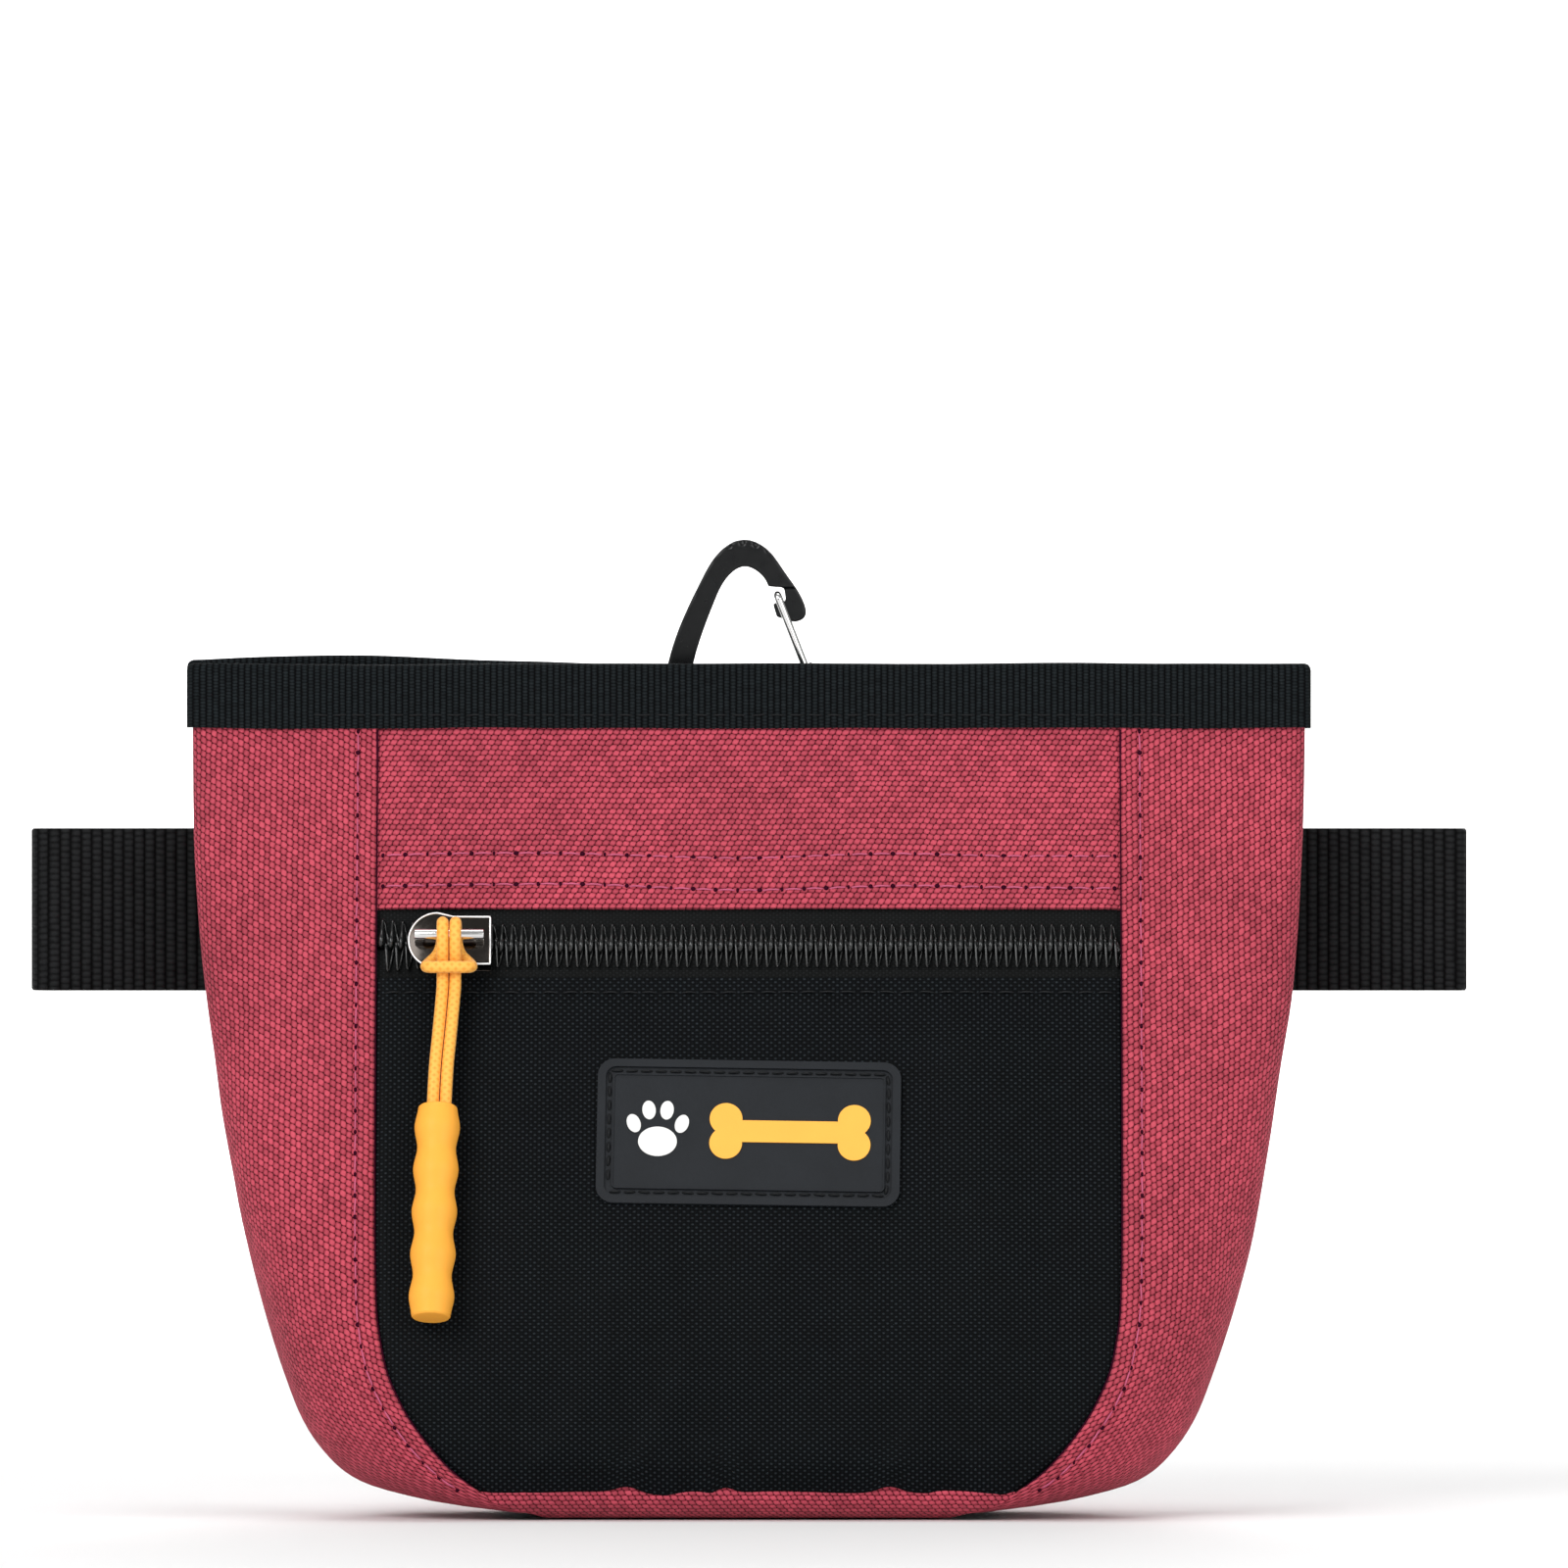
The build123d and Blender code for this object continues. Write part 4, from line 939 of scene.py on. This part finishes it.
def binding_row(side, front, across, z):
    """Points along the tape: across is 0 on the outside and 1 on the inside of the wall."""
    into = 1 if front else -1
    wall = (LINING_FRONT_DEPTH if front else LINING_BACK_DEPTH) + 0.6 * MM
    outer, inner_middle, inner_side = -0.8 * MM, wall, LINING_SIDE_DEPTH + 0.55 * MM
    face = front_at(RIM_Z) if front else back_at(RIM_Z)
    seam = seam_at(RIM_Z)
    middle_depth = outer + (inner_middle - outer) * across
    row = [Vector((side * seam * k / 26, face + into * middle_depth, z)) for k in range(26)]
    lengths = [seam * k / 26 for k in range(26)]
    points, normal = side_section(front, RIM_Z)
    total = along_section((points, normal), np.array([0.0]))[3]
    place, turn, at, _ = along_section((points, normal), np.linspace(0, total, 34))
    limit = middle_y(RIM_Z) - into * 0.05 * MM
    for k, ((x, y), (nx, ny), run) in enumerate(zip(place, turn, at)):
        ease = min(k / 16, 1)
        inner = inner_middle + (inner_side - inner_middle) * ease
        depth = outer + (inner - outer) * across
        y_here = y - ny * depth
        y_here = min(y_here, limit) if front else max(y_here, limit)
        row.append(Vector((side * (x - nx * depth), y_here, z)))
        lengths.append(seam + run)
    for p in row:
        wobble = cloth_noise(p.x, z, into, 16 * MM, 0.22 * MM, 11.0)
        peek = 1.4 * MM * math.exp(-((p.x + 62 * MM) / (24 * MM)) ** 2) if not front else 0.0
        p.z += peek + wobble
        p.y -= into * abs(wobble) * (0.5 if across < 0.5 else 0)
    return row, lengths


gusset_pieces()
front_wall_pieces()
back_and_base()
lining_pieces()
binding_pieces()


# --- Thread -----------------------------------------------------------------------------
def front_normal(p):
    """Out of the front wall at a point."""
    return wall_normal(p.z, True)


def back_normal(p):
    """Out of the back wall, the same all over."""
    return Vector((0, 1, 0))


def topstitch(name, line, normal_at, body):
    """A row of red stitches with its needle holes."""
    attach(stitches(f"thread_{name}", line, normal_at, thread_red), body)
    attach(needle_holes(f"holes_{name}", line, normal_at, painted_shade), body)


def panel_rows():
    """Two rows of stitches along the upper panel's lower edge."""
    for index, z in enumerate(PANEL_ROWS):
        line = []
        for k in range(111):
            x = (k - 55) * MM
            sag = cloth_noise(x, z, 0, 30 * MM, 0.9 * MM, 12.0)
            line.append(wall_point(UPPER, x, z + sag) + front_normal(Vector((x, 0, z))) * 0.08 * MM)
        topstitch(f"panel_{index}", line, front_normal, "front_wall")


def gusset_rows():
    """Topstitching beside each front and back seam, and a dark tube of painted shade in the seam itself."""
    for side, side_name in SIDES:
        for front, half, body in WALLS:
            normal_at = front_normal if front else back_normal
            line = []
            for z in np.linspace(4.5 * MM, BINDING_Z - 0.5 * MM, 90):
                row, _ = gusset_row(side, front, float(z), np.array([2.9 * MM]))
                line.append(row[0] + normal_at(row[0]) * 0.1 * MM)
            topstitch(f"gusset_{side_name}_{half}", line, normal_at, body)
            # A thin dark tube along the seam: painted shade where the gusset's edge meets the panel.
            crease = []
            for z in np.linspace(5 * MM, BINDING_Z - 0.3 * MM, 90):
                row, _ = gusset_row(side, front, float(z), np.array([0.0]))
                crease.append(row[0] + normal_at(row[0]) * 0.3 * MM)
            shadow = many_tubes(f"crease_{side_name}_{half}", [(crease, 0.17 * MM, 6, 1.0)], painted_shade)
            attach(shadow, body)


def binding_rows():
    """One black row near the binding's lower edge, front and back."""
    for front, half, body in WALLS:
        face = front_at(RIM_Z) if front else back_at(RIM_Z)
        out = -1 if front else 1
        line = [Vector((x * MM, face + out * 0.84 * MM, BINDING_Z + 2 * MM)) for x in range(-66, 67, 2)]
        normal_at = front_flat if front else back_normal
        thread = stitches(f"thread_binding_{half}", line, normal_at, thread_black, 2.9 * MM)
        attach(thread, body)


def front_flat(p):
    """Straight forward, out of the binding."""
    return Vector((0, -1, 0))


def pocket_row():
    """The pocket's black topstitching below the zip."""
    line = []
    for k in range(111):
        x = (k - 55) * MM
        line.append(wall_point(POCKET, x, POCKET_ROW) + wall_normal(POCKET_ROW, True) * 0.1 * MM)
    thread = stitches("thread_pocket", line, front_normal, thread_black, 3.0 * MM)
    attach(thread, "front_wall")


def badge_row():
    """Black stitches lying in the badge's groove."""
    half_x, half_up, middle_up = 20.9 * MM, 9.5 * MM, -29.8 * MM
    tilt = math.radians(-0.9)
    corners = [(-half_x, -half_up), (half_x, -half_up), (half_x, half_up), (-half_x, half_up),
               (-half_x, -half_up)]
    line = []
    for (x0, u0), (x1, u1) in zip(corners, corners[1:]):
        for k in range(12):
            x, u = x0 + (x1 - x0) * k / 12, u0 + (u1 - u0) * k / 12
            line.append(on_front(x * math.cos(tilt) - u * math.sin(tilt),
                                 middle_up + x * math.sin(tilt) + u * math.cos(tilt), 0.52 * MM))
    thread = stitches("thread_badge", line, badge_normal, thread_black, 2.2 * MM, 0.85, 0.22 * MM)
    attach(thread, "front_wall")


def badge_normal(p):
    """Out of the badge, the same all over."""
    return OUT


panel_rows()
gusset_rows()
binding_rows()
pocket_row()
badge_row()


# --- Zip --------------------------------------------------------------------------------
def zip_coils():
    """Each coil is a flattened helix of monofilament, thickest at the heads where the two mesh."""
    pitch, per_turn = 1.5 * MM, 20
    turns = int(111 * MM / pitch)
    for side, name in ((1, "upper"), (-1, "lower")):
        path, radii = [], []
        for i in range(turns * per_turn + 1):
            angle = 2 * math.pi * i / per_turn
            advance = i / per_turn + 0.11 * math.cos(angle)
            x = -55.5 * MM + pitch * advance + (0 if side > 0 else pitch / 2)
            spread = max(0.0, -(x - SLIDER_X) / (10 * MM)) ** 1.4 * 0.75 * MM
            reach = 1.2 * MM - 2.15 * MM * math.cos(angle)
            head = math.exp(-((reach + 0.2 * MM) / (1.2 * MM)) ** 2)
            out = -0.4 * MM + 0.55 * MM * math.sin(angle) + (0.65 if side > 0 else 0.2) * MM * head
            path.append(on_front(x, side * (reach + spread), out))
            radii.append((0.2 + (0.2 if side > 0 else 0.1) * head) * MM)
        coil = many_tubes(f"coil_{name}", [(path, radii, 8, 1.0)], coil_plastic)
        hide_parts(f"zip_coil_{name}")
        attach(coil, "front_wall")


def stand_for(obj, node, body):
    """Puts a smooth-shaded copy in its CAD piece's place."""
    obj.data.polygons.foreach_set("use_smooth", [True] * len(obj.data.polygons))
    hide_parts(node)
    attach(obj, body)


def bevelled_copy(node, name, width, segments, main, edge, body):
    """A copy of a rigid CAD piece with rounded edges, whose bevels may take a second material."""
    obj = bpy.data.objects.new(name, nodes[node].data.copy())
    bpy.context.scene.collection.objects.link(obj)
    work = bmesh.new()
    work.from_mesh(obj.data)
    bmesh.ops.remove_doubles(work, verts=work.verts, dist=0.002 * MM)
    flat = [e for e in work.edges if len(e.link_faces) == 2 and e.calc_face_angle(1) < math.radians(0.15)]
    bmesh.ops.dissolve_edges(work, edges=flat, use_verts=False)
    sharp = [e for e in work.edges if len(e.link_faces) == 2 and e.calc_face_angle(0) > math.radians(40)]
    made = bmesh.ops.bevel(work, geom=sharp, offset=width, segments=segments, profile=0.6, affect="EDGES",
                           clamp_overlap=False)
    for face in work.faces:
        face.material_index = 0
    for face in made["faces"]:
        face.material_index = 1
    bmesh.ops.triangulate(work, faces=[f for f in work.faces if len(f.verts) > 4])
    work.to_mesh(obj.data)
    work.free()
    obj.data.materials.clear()
    obj.data.materials.append(main)
    obj.data.materials.append(edge)
    stand_for(obj, node, body)
    obj.data.set_sharp_from_angle(angle=math.radians(38))
    return obj


def painted_highlight_rim():
    """The rolled edge round the slider's upper plate, made bright as a painted highlight."""
    half, width, tail, shoulder, out = 6.1, 4.3, 3.7, -1.8, 2.28
    plan = [(half, 0), (half, tail), (shoulder + 2.4, tail), (shoulder, width)]
    turns = [math.pi * k / 24 for k in range(1, 24)]
    plan += [(shoulder - width * math.sin(a), width * math.cos(a)) for a in turns]
    plan += [(shoulder, -width), (shoulder + 2.4, -tail), (half, -tail), (half, 0)]
    path = [on_front(SLIDER_X + x * MM, up * MM, out * MM) for x, up in plan]
    tube = (resample(path, 0.25 * MM), 0.17 * MM, 8, 1.0)
    rim = many_tubes("painted_highlight_rim", [tube], highlight_metal)
    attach(rim, "slider")


def rounded_copy(node, name, voxel, passes, material, body):
    """A copy of a rigid CAD piece remeshed on a fine grid, so that every edge is a little rounded."""
    obj = bpy.data.objects.new(name, nodes[node].data.copy())
    bpy.context.scene.collection.objects.link(obj)
    obj.data.materials.clear()
    remesh = obj.modifiers.new("remesh", "REMESH")
    remesh.mode = "VOXEL"
    remesh.voxel_size = voxel
    smooth = obj.modifiers.new("smooth", "SMOOTH")
    smooth.factor = 0.5
    smooth.iterations = passes
    graph = bpy.context.evaluated_depsgraph_get()
    mesh = bpy.data.meshes.new_from_object(obj.evaluated_get(graph))
    obj.modifiers.clear()
    obj.data = mesh
    mesh.materials.append(material)
    stand_for(obj, node, body)


zip_coils()
# The slider's bevel faces take the near-white metal: a painted highlight along its outline.
bevelled_copy("slider_body", "slider_shell", 0.3 * MM, 2, gunmetal, highlight_metal, "slider")
painted_highlight_rim()
bevelled_copy("slider_bridge", "slider_bar", 0.12 * MM, 2, bright_metal, bright_metal,
              "slider")


# --- Pull cord --------------------------------------------------------------------------
CORD = 1.8 * MM
BAR_OUT = 5.15
WRAP = 1.75
# Control points in millimetres: along the zip, up the slope, out of it; the route of the CAD cord
HITCH = [(-0.95, -7.3, 4.3), (-0.95, -4.9, 4.4), (-0.95, -1.7, BAR_OUT + WRAP),
         (-0.95, WRAP, BAR_OUT + WRAP), (-1.0, WRAP, BAR_OUT - WRAP), (-1.2, -2.3, BAR_OUT - WRAP),
         (-3.4, -4.4, 3.7), (-3.4, -5.5, 6.2), (0.0, -5.6, 6.7)]
DROP = [(-0.95, -8.2, 4.35), (-1.5, -15.0, 4.5), (-2.2, -22.5, 4.8), (-2.45, -33.0, 4.9)]


def cord_route():
    """The cord's whole line: up its left strand, round the bar and down its right."""
    left = DROP[::-1] + HITCH
    hitch_right = [(-x, up, out) for x, up, out in HITCH[-2::-1]]
    drop_right = [(x + 2 * 0.95, up, out) for x, up, out in DROP]
    route = left + hitch_right + drop_right
    return [on_front(SLIDER_X + x * MM, up * MM, out * MM) for x, up, out in route]


def nurbs_points(control, resolution=14):
    """Points along the smooth cord line that has these control points."""
    curve = bpy.data.curves.new("route", "CURVE")
    curve.dimensions = "3D"
    spline = curve.splines.new("NURBS")
    spline.points.add(len(control) - 1)
    for point, place in zip(spline.points, control):
        point.co = (*place, 1)
    spline.order_u = 3
    spline.use_endpoint_u = True
    spline.resolution_u = resolution
    holder = bpy.data.objects.new("route", curve)
    bpy.context.scene.collection.objects.link(holder)
    graph = bpy.context.evaluated_depsgraph_get()
    mesh = bpy.data.meshes.new_from_object(holder.evaluated_get(graph))
    points = [v.co.copy() for v in mesh.vertices]
    bpy.data.objects.remove(holder)
    bpy.data.meshes.remove(mesh)
    return points


def pull_cord():
    """The zip's amber cord, hitched round the slider's bar."""
    path = [Vector(p) for p in resample(nurbs_points(cord_route()), 0.35 * MM)]
    sides = 16
    verts, faces = tube_mesh(path, CORD / 2, sides)
    uvs = []
    for i in range(len(path)):
        uvs += [(i * 0.35 * MM, k / sides) for k in range(sides)]
    cord = new_object("pull_cord", verts, faces, uvs)
    cord.data.materials.append(cord_braid)
    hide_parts("pull_cord_hitch", "pull_cord_strands")
    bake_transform(cord)


grip = bevelled_copy("pull_grip", "grip", 0.45 * MM, 3, grip_rubber, grip_rubber, "pull")
pull_cord()


# --- Webbing ----------------------------------------------------------------------------
def ribbon(name, path, width_axis, width, thickness, material, rib=1.6 * MM, relief=0.09 * MM,
           step=0.4 * MM):
    """A strip of webbing along a flat path, ribbed across, with softened long edges."""
    pts = [Vector(p) for p in resample(path, step)]
    axis = Vector(width_axis)
    edge = 0.35 * MM
    section = [(-0.5, -0.3), (-0.5 + edge / width, -0.5), (0.5 - edge / width, -0.5), (0.5, -0.3),
               (0.5, 0.3), (0.5 - edge / width, 0.5), (-0.5 + edge / width, 0.5), (-0.5, 0.3)]
    inner = [-0.3, -0.1, 0.1, 0.3]
    under = [(s, -0.5) for s in inner]
    over = [(s, 0.5) for s in inner[::-1]]
    section = section[:2] + under + section[2:6] + over + section[6:]
    count = len(section)
    verts, uvs, faces = [], [], []
    run = 0.0
    for i, p in enumerate(pts):
        tangent = (pts[min(i + 1, len(pts) - 1)] - pts[max(i - 1, 0)]).normalized()
        normal = axis.cross(tangent).normalized()
        ripple = relief * (abs(math.sin(math.pi * run / rib)) - 0.5)
        for across, out in section:
            depth = out * thickness + math.copysign(ripple, out) * (1 if abs(out) == 0.5 else 0.4)
            place = p + axis * (across * width) + normal * depth
            verts.append(place)
            uvs.append((run, across * width + (0.5 if out > 0 else 0)))
        run += step
    for i in range(len(pts) - 1):
        for k in range(count):
            a, b = i * count + k, i * count + (k + 1) % count
            faces.append((a, b, b + count, a + count))
    faces.append(tuple(range(count - 1, -1, -1)))
    last = (len(pts) - 1) * count
    faces.append(tuple(range(last, last + count)))
    obj = new_object(name, verts, faces, uvs)
    make_outward(obj)
    obj.data.materials.append(material)
    return obj


LAYERS = (24.4 * MM, 27.5 * MM, 29.0 * MM, 31.3 * MM)
BELT_Z = 90.6 * MM
BELT_WIDTH = 24.6 * MM
BELT = 1.2 * MM


def half_turn(centre_x, y_from, y_to, side):
    """Points of a fold that joins two layers, bulging towards a side."""
    middle, radius = (y_from + y_to) / 2, (y_to - y_from) / 2
    return [Vector((centre_x + side * abs(radius) * math.sin(math.pi * k / 12),
                    middle - radius * math.cos(math.pi * k / 12), BELT_Z)) for k in range(13)]


def belt_point(x, y):
    """A point on the belt's middle line."""
    return Vector((x, y, BELT_Z))


def belt_path():
    """From the tail by the female half, round both buckle bars, to the tail by the male half."""
    left, right = -108.8 * MM, 108.75 * MM
    first, second, third, fourth = LAYERS
    return_y, tail_y = fourth + 3.8 * MM, 32.9 * MM
    turn = 1.9 * MM + BELT / 2
    near = 1.55 * MM + BELT / 2
    outer = 3.45 * MM + BELT / 2
    thin = 0.75 * MM + BELT / 2
    far = 1.15 * MM + BELT / 2
    path = [belt_point(52 * MM, tail_y), belt_point(42 * MM, tail_y), belt_point(33 * MM, return_y),
            belt_point(22.5 * MM + turn, return_y)]
    path += half_turn(22.5 * MM + turn, return_y, fourth, -1)
    path += half_turn(right - 2.2 * MM - far, fourth, third, 1)
    path += half_turn(left + 2.9 * MM + thin, third, second, -1)
    path += half_turn(right - near, second, first, 1)
    path += half_turn(left + outer, first, fourth, -1)
    path += half_turn(-22.5 * MM - turn, fourth, return_y, 1)
    path += [belt_point(-33 * MM, return_y), belt_point(-42 * MM, tail_y), belt_point(-93 * MM, tail_y)]
    return path


def webbing_pieces():
    """The belt, the keepers that hold it to the back wall, the tab and the loop."""
    belt = ribbon("belt_webbing", belt_path(), (0, 0, 1), BELT_WIDTH, BELT, webbing)
    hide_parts("waist_belt")
    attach(belt, "belt")
    face, strip = BACK_Y + 0.1 * MM, 1.0 * MM
    out = LAYERS[0] + BELT / 2 + 0.3 * MM
    low, high = BELT_Z - BELT_WIDTH / 2 - 1 * MM, BELT_Z + BELT_WIDTH / 2 + 1 * MM
    for side, name in SIDES:
        x = side * 42 * MM
        route = [(face, low - 12.4 * MM), (face, low - 3.4 * MM), (out, low - 0.3 * MM),
                 (out, high + 0.3 * MM), (face, high + 3.4 * MM), (face, high + 12.4 * MM)]
        path = [Vector((x, y + strip / 2, z)) for y, z in route]
        keeper = ribbon(f"keeper_webbing_{name}", path, (1, 0, 0), 20 * MM, strip, webbing,
                        1.4 * MM)
        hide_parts(f"belt_keeper_{name}")
        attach(keeper, "pouch")
        for k, (z0, z1) in enumerate(((low - 12 * MM, low - 4.2 * MM), (high + 4.2 * MM, high + 12 * MM))):
            y = face + strip + 0.02 * MM
            corners = ((-1, z0), (1, z0), (1, z1), (-1, z1), (-1, z0))
            box = [Vector((x + dx * 8.5 * MM, y, z)) for dx, z in corners]
            box += [Vector((x + 8.5 * MM, y, z1))]
            thread = stitches(f"thread_keeper_{name}_{k}", box, back_normal, thread_black, 2.4 * MM)
            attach(thread, "pouch")
    hanger()
    slip_loop()


def hanger():
    """Webbing round the carabiner's lower bar, both ends sewn to the back wall."""
    low, radius, strip = 92 * MM, 4.1 * MM, 1.0 * MM
    y, z, x = 26.0 * MM, 111.3 * MM, -0.5 * MM
    first = y - radius
    path = [Vector((x, first, low)), Vector((x, first, z))]
    path += [Vector((x, y - radius * math.cos(a), z + radius * math.sin(a)))
             for a in (math.pi * k / 16 for k in range(1, 17))]
    path += [Vector((x, y + radius * math.cos(a), z - radius * math.sin(a)))
             for a in (math.pi * k / 16 for k in range(1, 12))]
    path += [Vector((x, first + strip * 1.05, z - 6 * MM)), Vector((x, first + strip * 1.05, low + 1 * MM))]
    tab = ribbon("hanger_webbing", path, (1, 0, 0), 10 * MM, strip, webbing, 1.3 * MM)
    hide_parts("hanger_tab")
    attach(tab, "pouch")


def slip_loop():
    """The band that holds the belt's tail to the belt."""
    inside_y = (LAYERS[3] - BELT / 2 - 0.55 * MM, 32.9 * MM + BELT / 2 + 0.55 * MM)
    half = BELT_WIDTH / 2 + 0.7 * MM
    x = -70 * MM
    corner = 0.5 * MM
    y0, y1 = inside_y
    z0, z1 = BELT_Z - half, BELT_Z + half
    path = [(y0, 0), (y0, z1 - corner), (y0 + corner, z1), (y1 - corner, z1), (y1, z1 - corner),
            (y1, z0 + corner), (y1 - corner, z0), (y0 + corner, z0), (y0, z0 + corner), (y0, 0)]
    path = [Vector((x, y, z if z else BELT_Z)) for y, z in path]
    loop = ribbon("slip_loop_webbing", path, (1, 0, 0), 7 * MM, 0.6 * MM, webbing, 1.2 * MM,
                  0.04 * MM)
    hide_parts("belt_slip_loop")
    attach(loop, "slip_loop")


webbing_pieces()


# --- Hardware ---------------------------------------------------------------------------
def dress(node, material):
    """Gives a CAD piece its finish."""
    obj = nodes[node]
    obj.data.materials.clear()
    obj.data.materials.append(material)
    for polygon in obj.data.polygons:
        polygon.material_index = 0


rounded_copy("carabiner_frame", "carabiner_hook", 0.2 * MM, 5, nylon_gloss,
             "carabiner")
for half in ("female", "male"):
    bevelled_copy(f"buckle_{half}", f"buckle_{half}_shell", 0.35 * MM, 2, acetal, acetal,
                  "belt")
for which in ("upper", "lower"):
    bevelled_copy(f"buckle_prong_{which}", f"prong_{which}_arm", 0.3 * MM, 2, acetal, acetal,
                  f"prong_{which}")
for node, finish in (("gate_wire", bright_metal), ("badge", badge_rubber), ("badge_paw", motif_white),
                     ("badge_bone", motif_amber), ("magnet_front", magnet_rubber),
                     ("magnet_back", magnet_rubber)):
    dress(node, finish)


# --- Floor, light and camera ------------------------------------------------------------
def studio():
    """A pale floor that curves up into a backdrop."""
    wide, near, far, radius, tall = 4.0, -4.0, 3.2, 0.8, 4.0
    drop = 0.0002
    profile = [(near, 0.0), (far, 0.0)]
    profile += [(far + radius * math.sin(a), radius * (1 - math.cos(a)))
                for a in (math.pi / 2 * k / 16 for k in range(1, 17))]
    profile += [(far + radius, tall)]
    verts, faces = [], []
    for y, z in profile:
        verts += [(-wide, y, z - drop), (wide, y, z - drop)]
    for i in range(len(profile) - 1):
        faces.append((2 * i, 2 * i + 1, 2 * i + 3, 2 * i + 2))
    floor = new_object("floor", verts, faces)
    n = Nodes("floor_paint")
    n.set(Roughness=0.8)
    n.shader.inputs["Base Color"].default_value = (0.86, 0.86, 0.86, 1)
    floor.data.materials.append(n.material)


def area_light(name, place, target, size, power):
    """A soft light that the camera doesn't see."""
    data = bpy.data.lights.new(name, "AREA")
    data.shape = "RECTANGLE"
    data.size, data.size_y = size
    data.energy = power
    obj = bpy.data.objects.new(name, data)
    obj.location = place
    obj.rotation_euler = (Vector(target) - Vector(place)).to_track_quat("-Z", "Y").to_euler()
    obj.visible_camera = False
    bpy.context.scene.collection.objects.link(obj)


def straight_on_camera():
    """Level and straight in front, from far away, framed as wide as the belt needs."""
    frame_width, distance = 235.3 * MM, 2.6
    focus = Vector((5.3 * MM, 0, 109.6 * MM))
    data = bpy.data.cameras.new("camera")
    data.sensor_width = 36
    data.lens = 36 * distance / frame_width
    data.clip_end = 20
    obj = bpy.data.objects.new("camera", data)
    obj.location = focus + Vector((0, -distance, 0))
    obj.rotation_euler = (math.pi / 2, 0, 0)
    bpy.context.scene.collection.objects.link(obj)
    bpy.context.scene.camera = obj


studio()
area_light("key", (-0.8, -1.3, 0.9), (0, 0, 0.07), (0.9, 0.9), 17)
area_light("fill", (0.9, -1.3, 0.5), (0, 0, 0.07), (0.9, 0.9), 9)
area_light("top", (0.0, 0.1, 1.3), (0, 0, 0.08), (0.9, 0.6), 5)
area_light("back", (0.3, 1.2, 0.7), (0, 0, 0.08), (0.8, 0.6), 4)
area_light("backdrop", (0.0, 2.0, 1.9), (0, 4.0, 0.5), (3.0, 0.8), 130)
world = bpy.data.worlds.new("studio")
world.use_nodes = True
world.node_tree.nodes["Background"].inputs[0].default_value = (1, 1, 1, 1)
world.node_tree.nodes["Background"].inputs[1].default_value = 0.4
bpy.context.scene.world = world
bpy.context.scene.view_settings.view_transform = "Standard"
straight_on_camera()
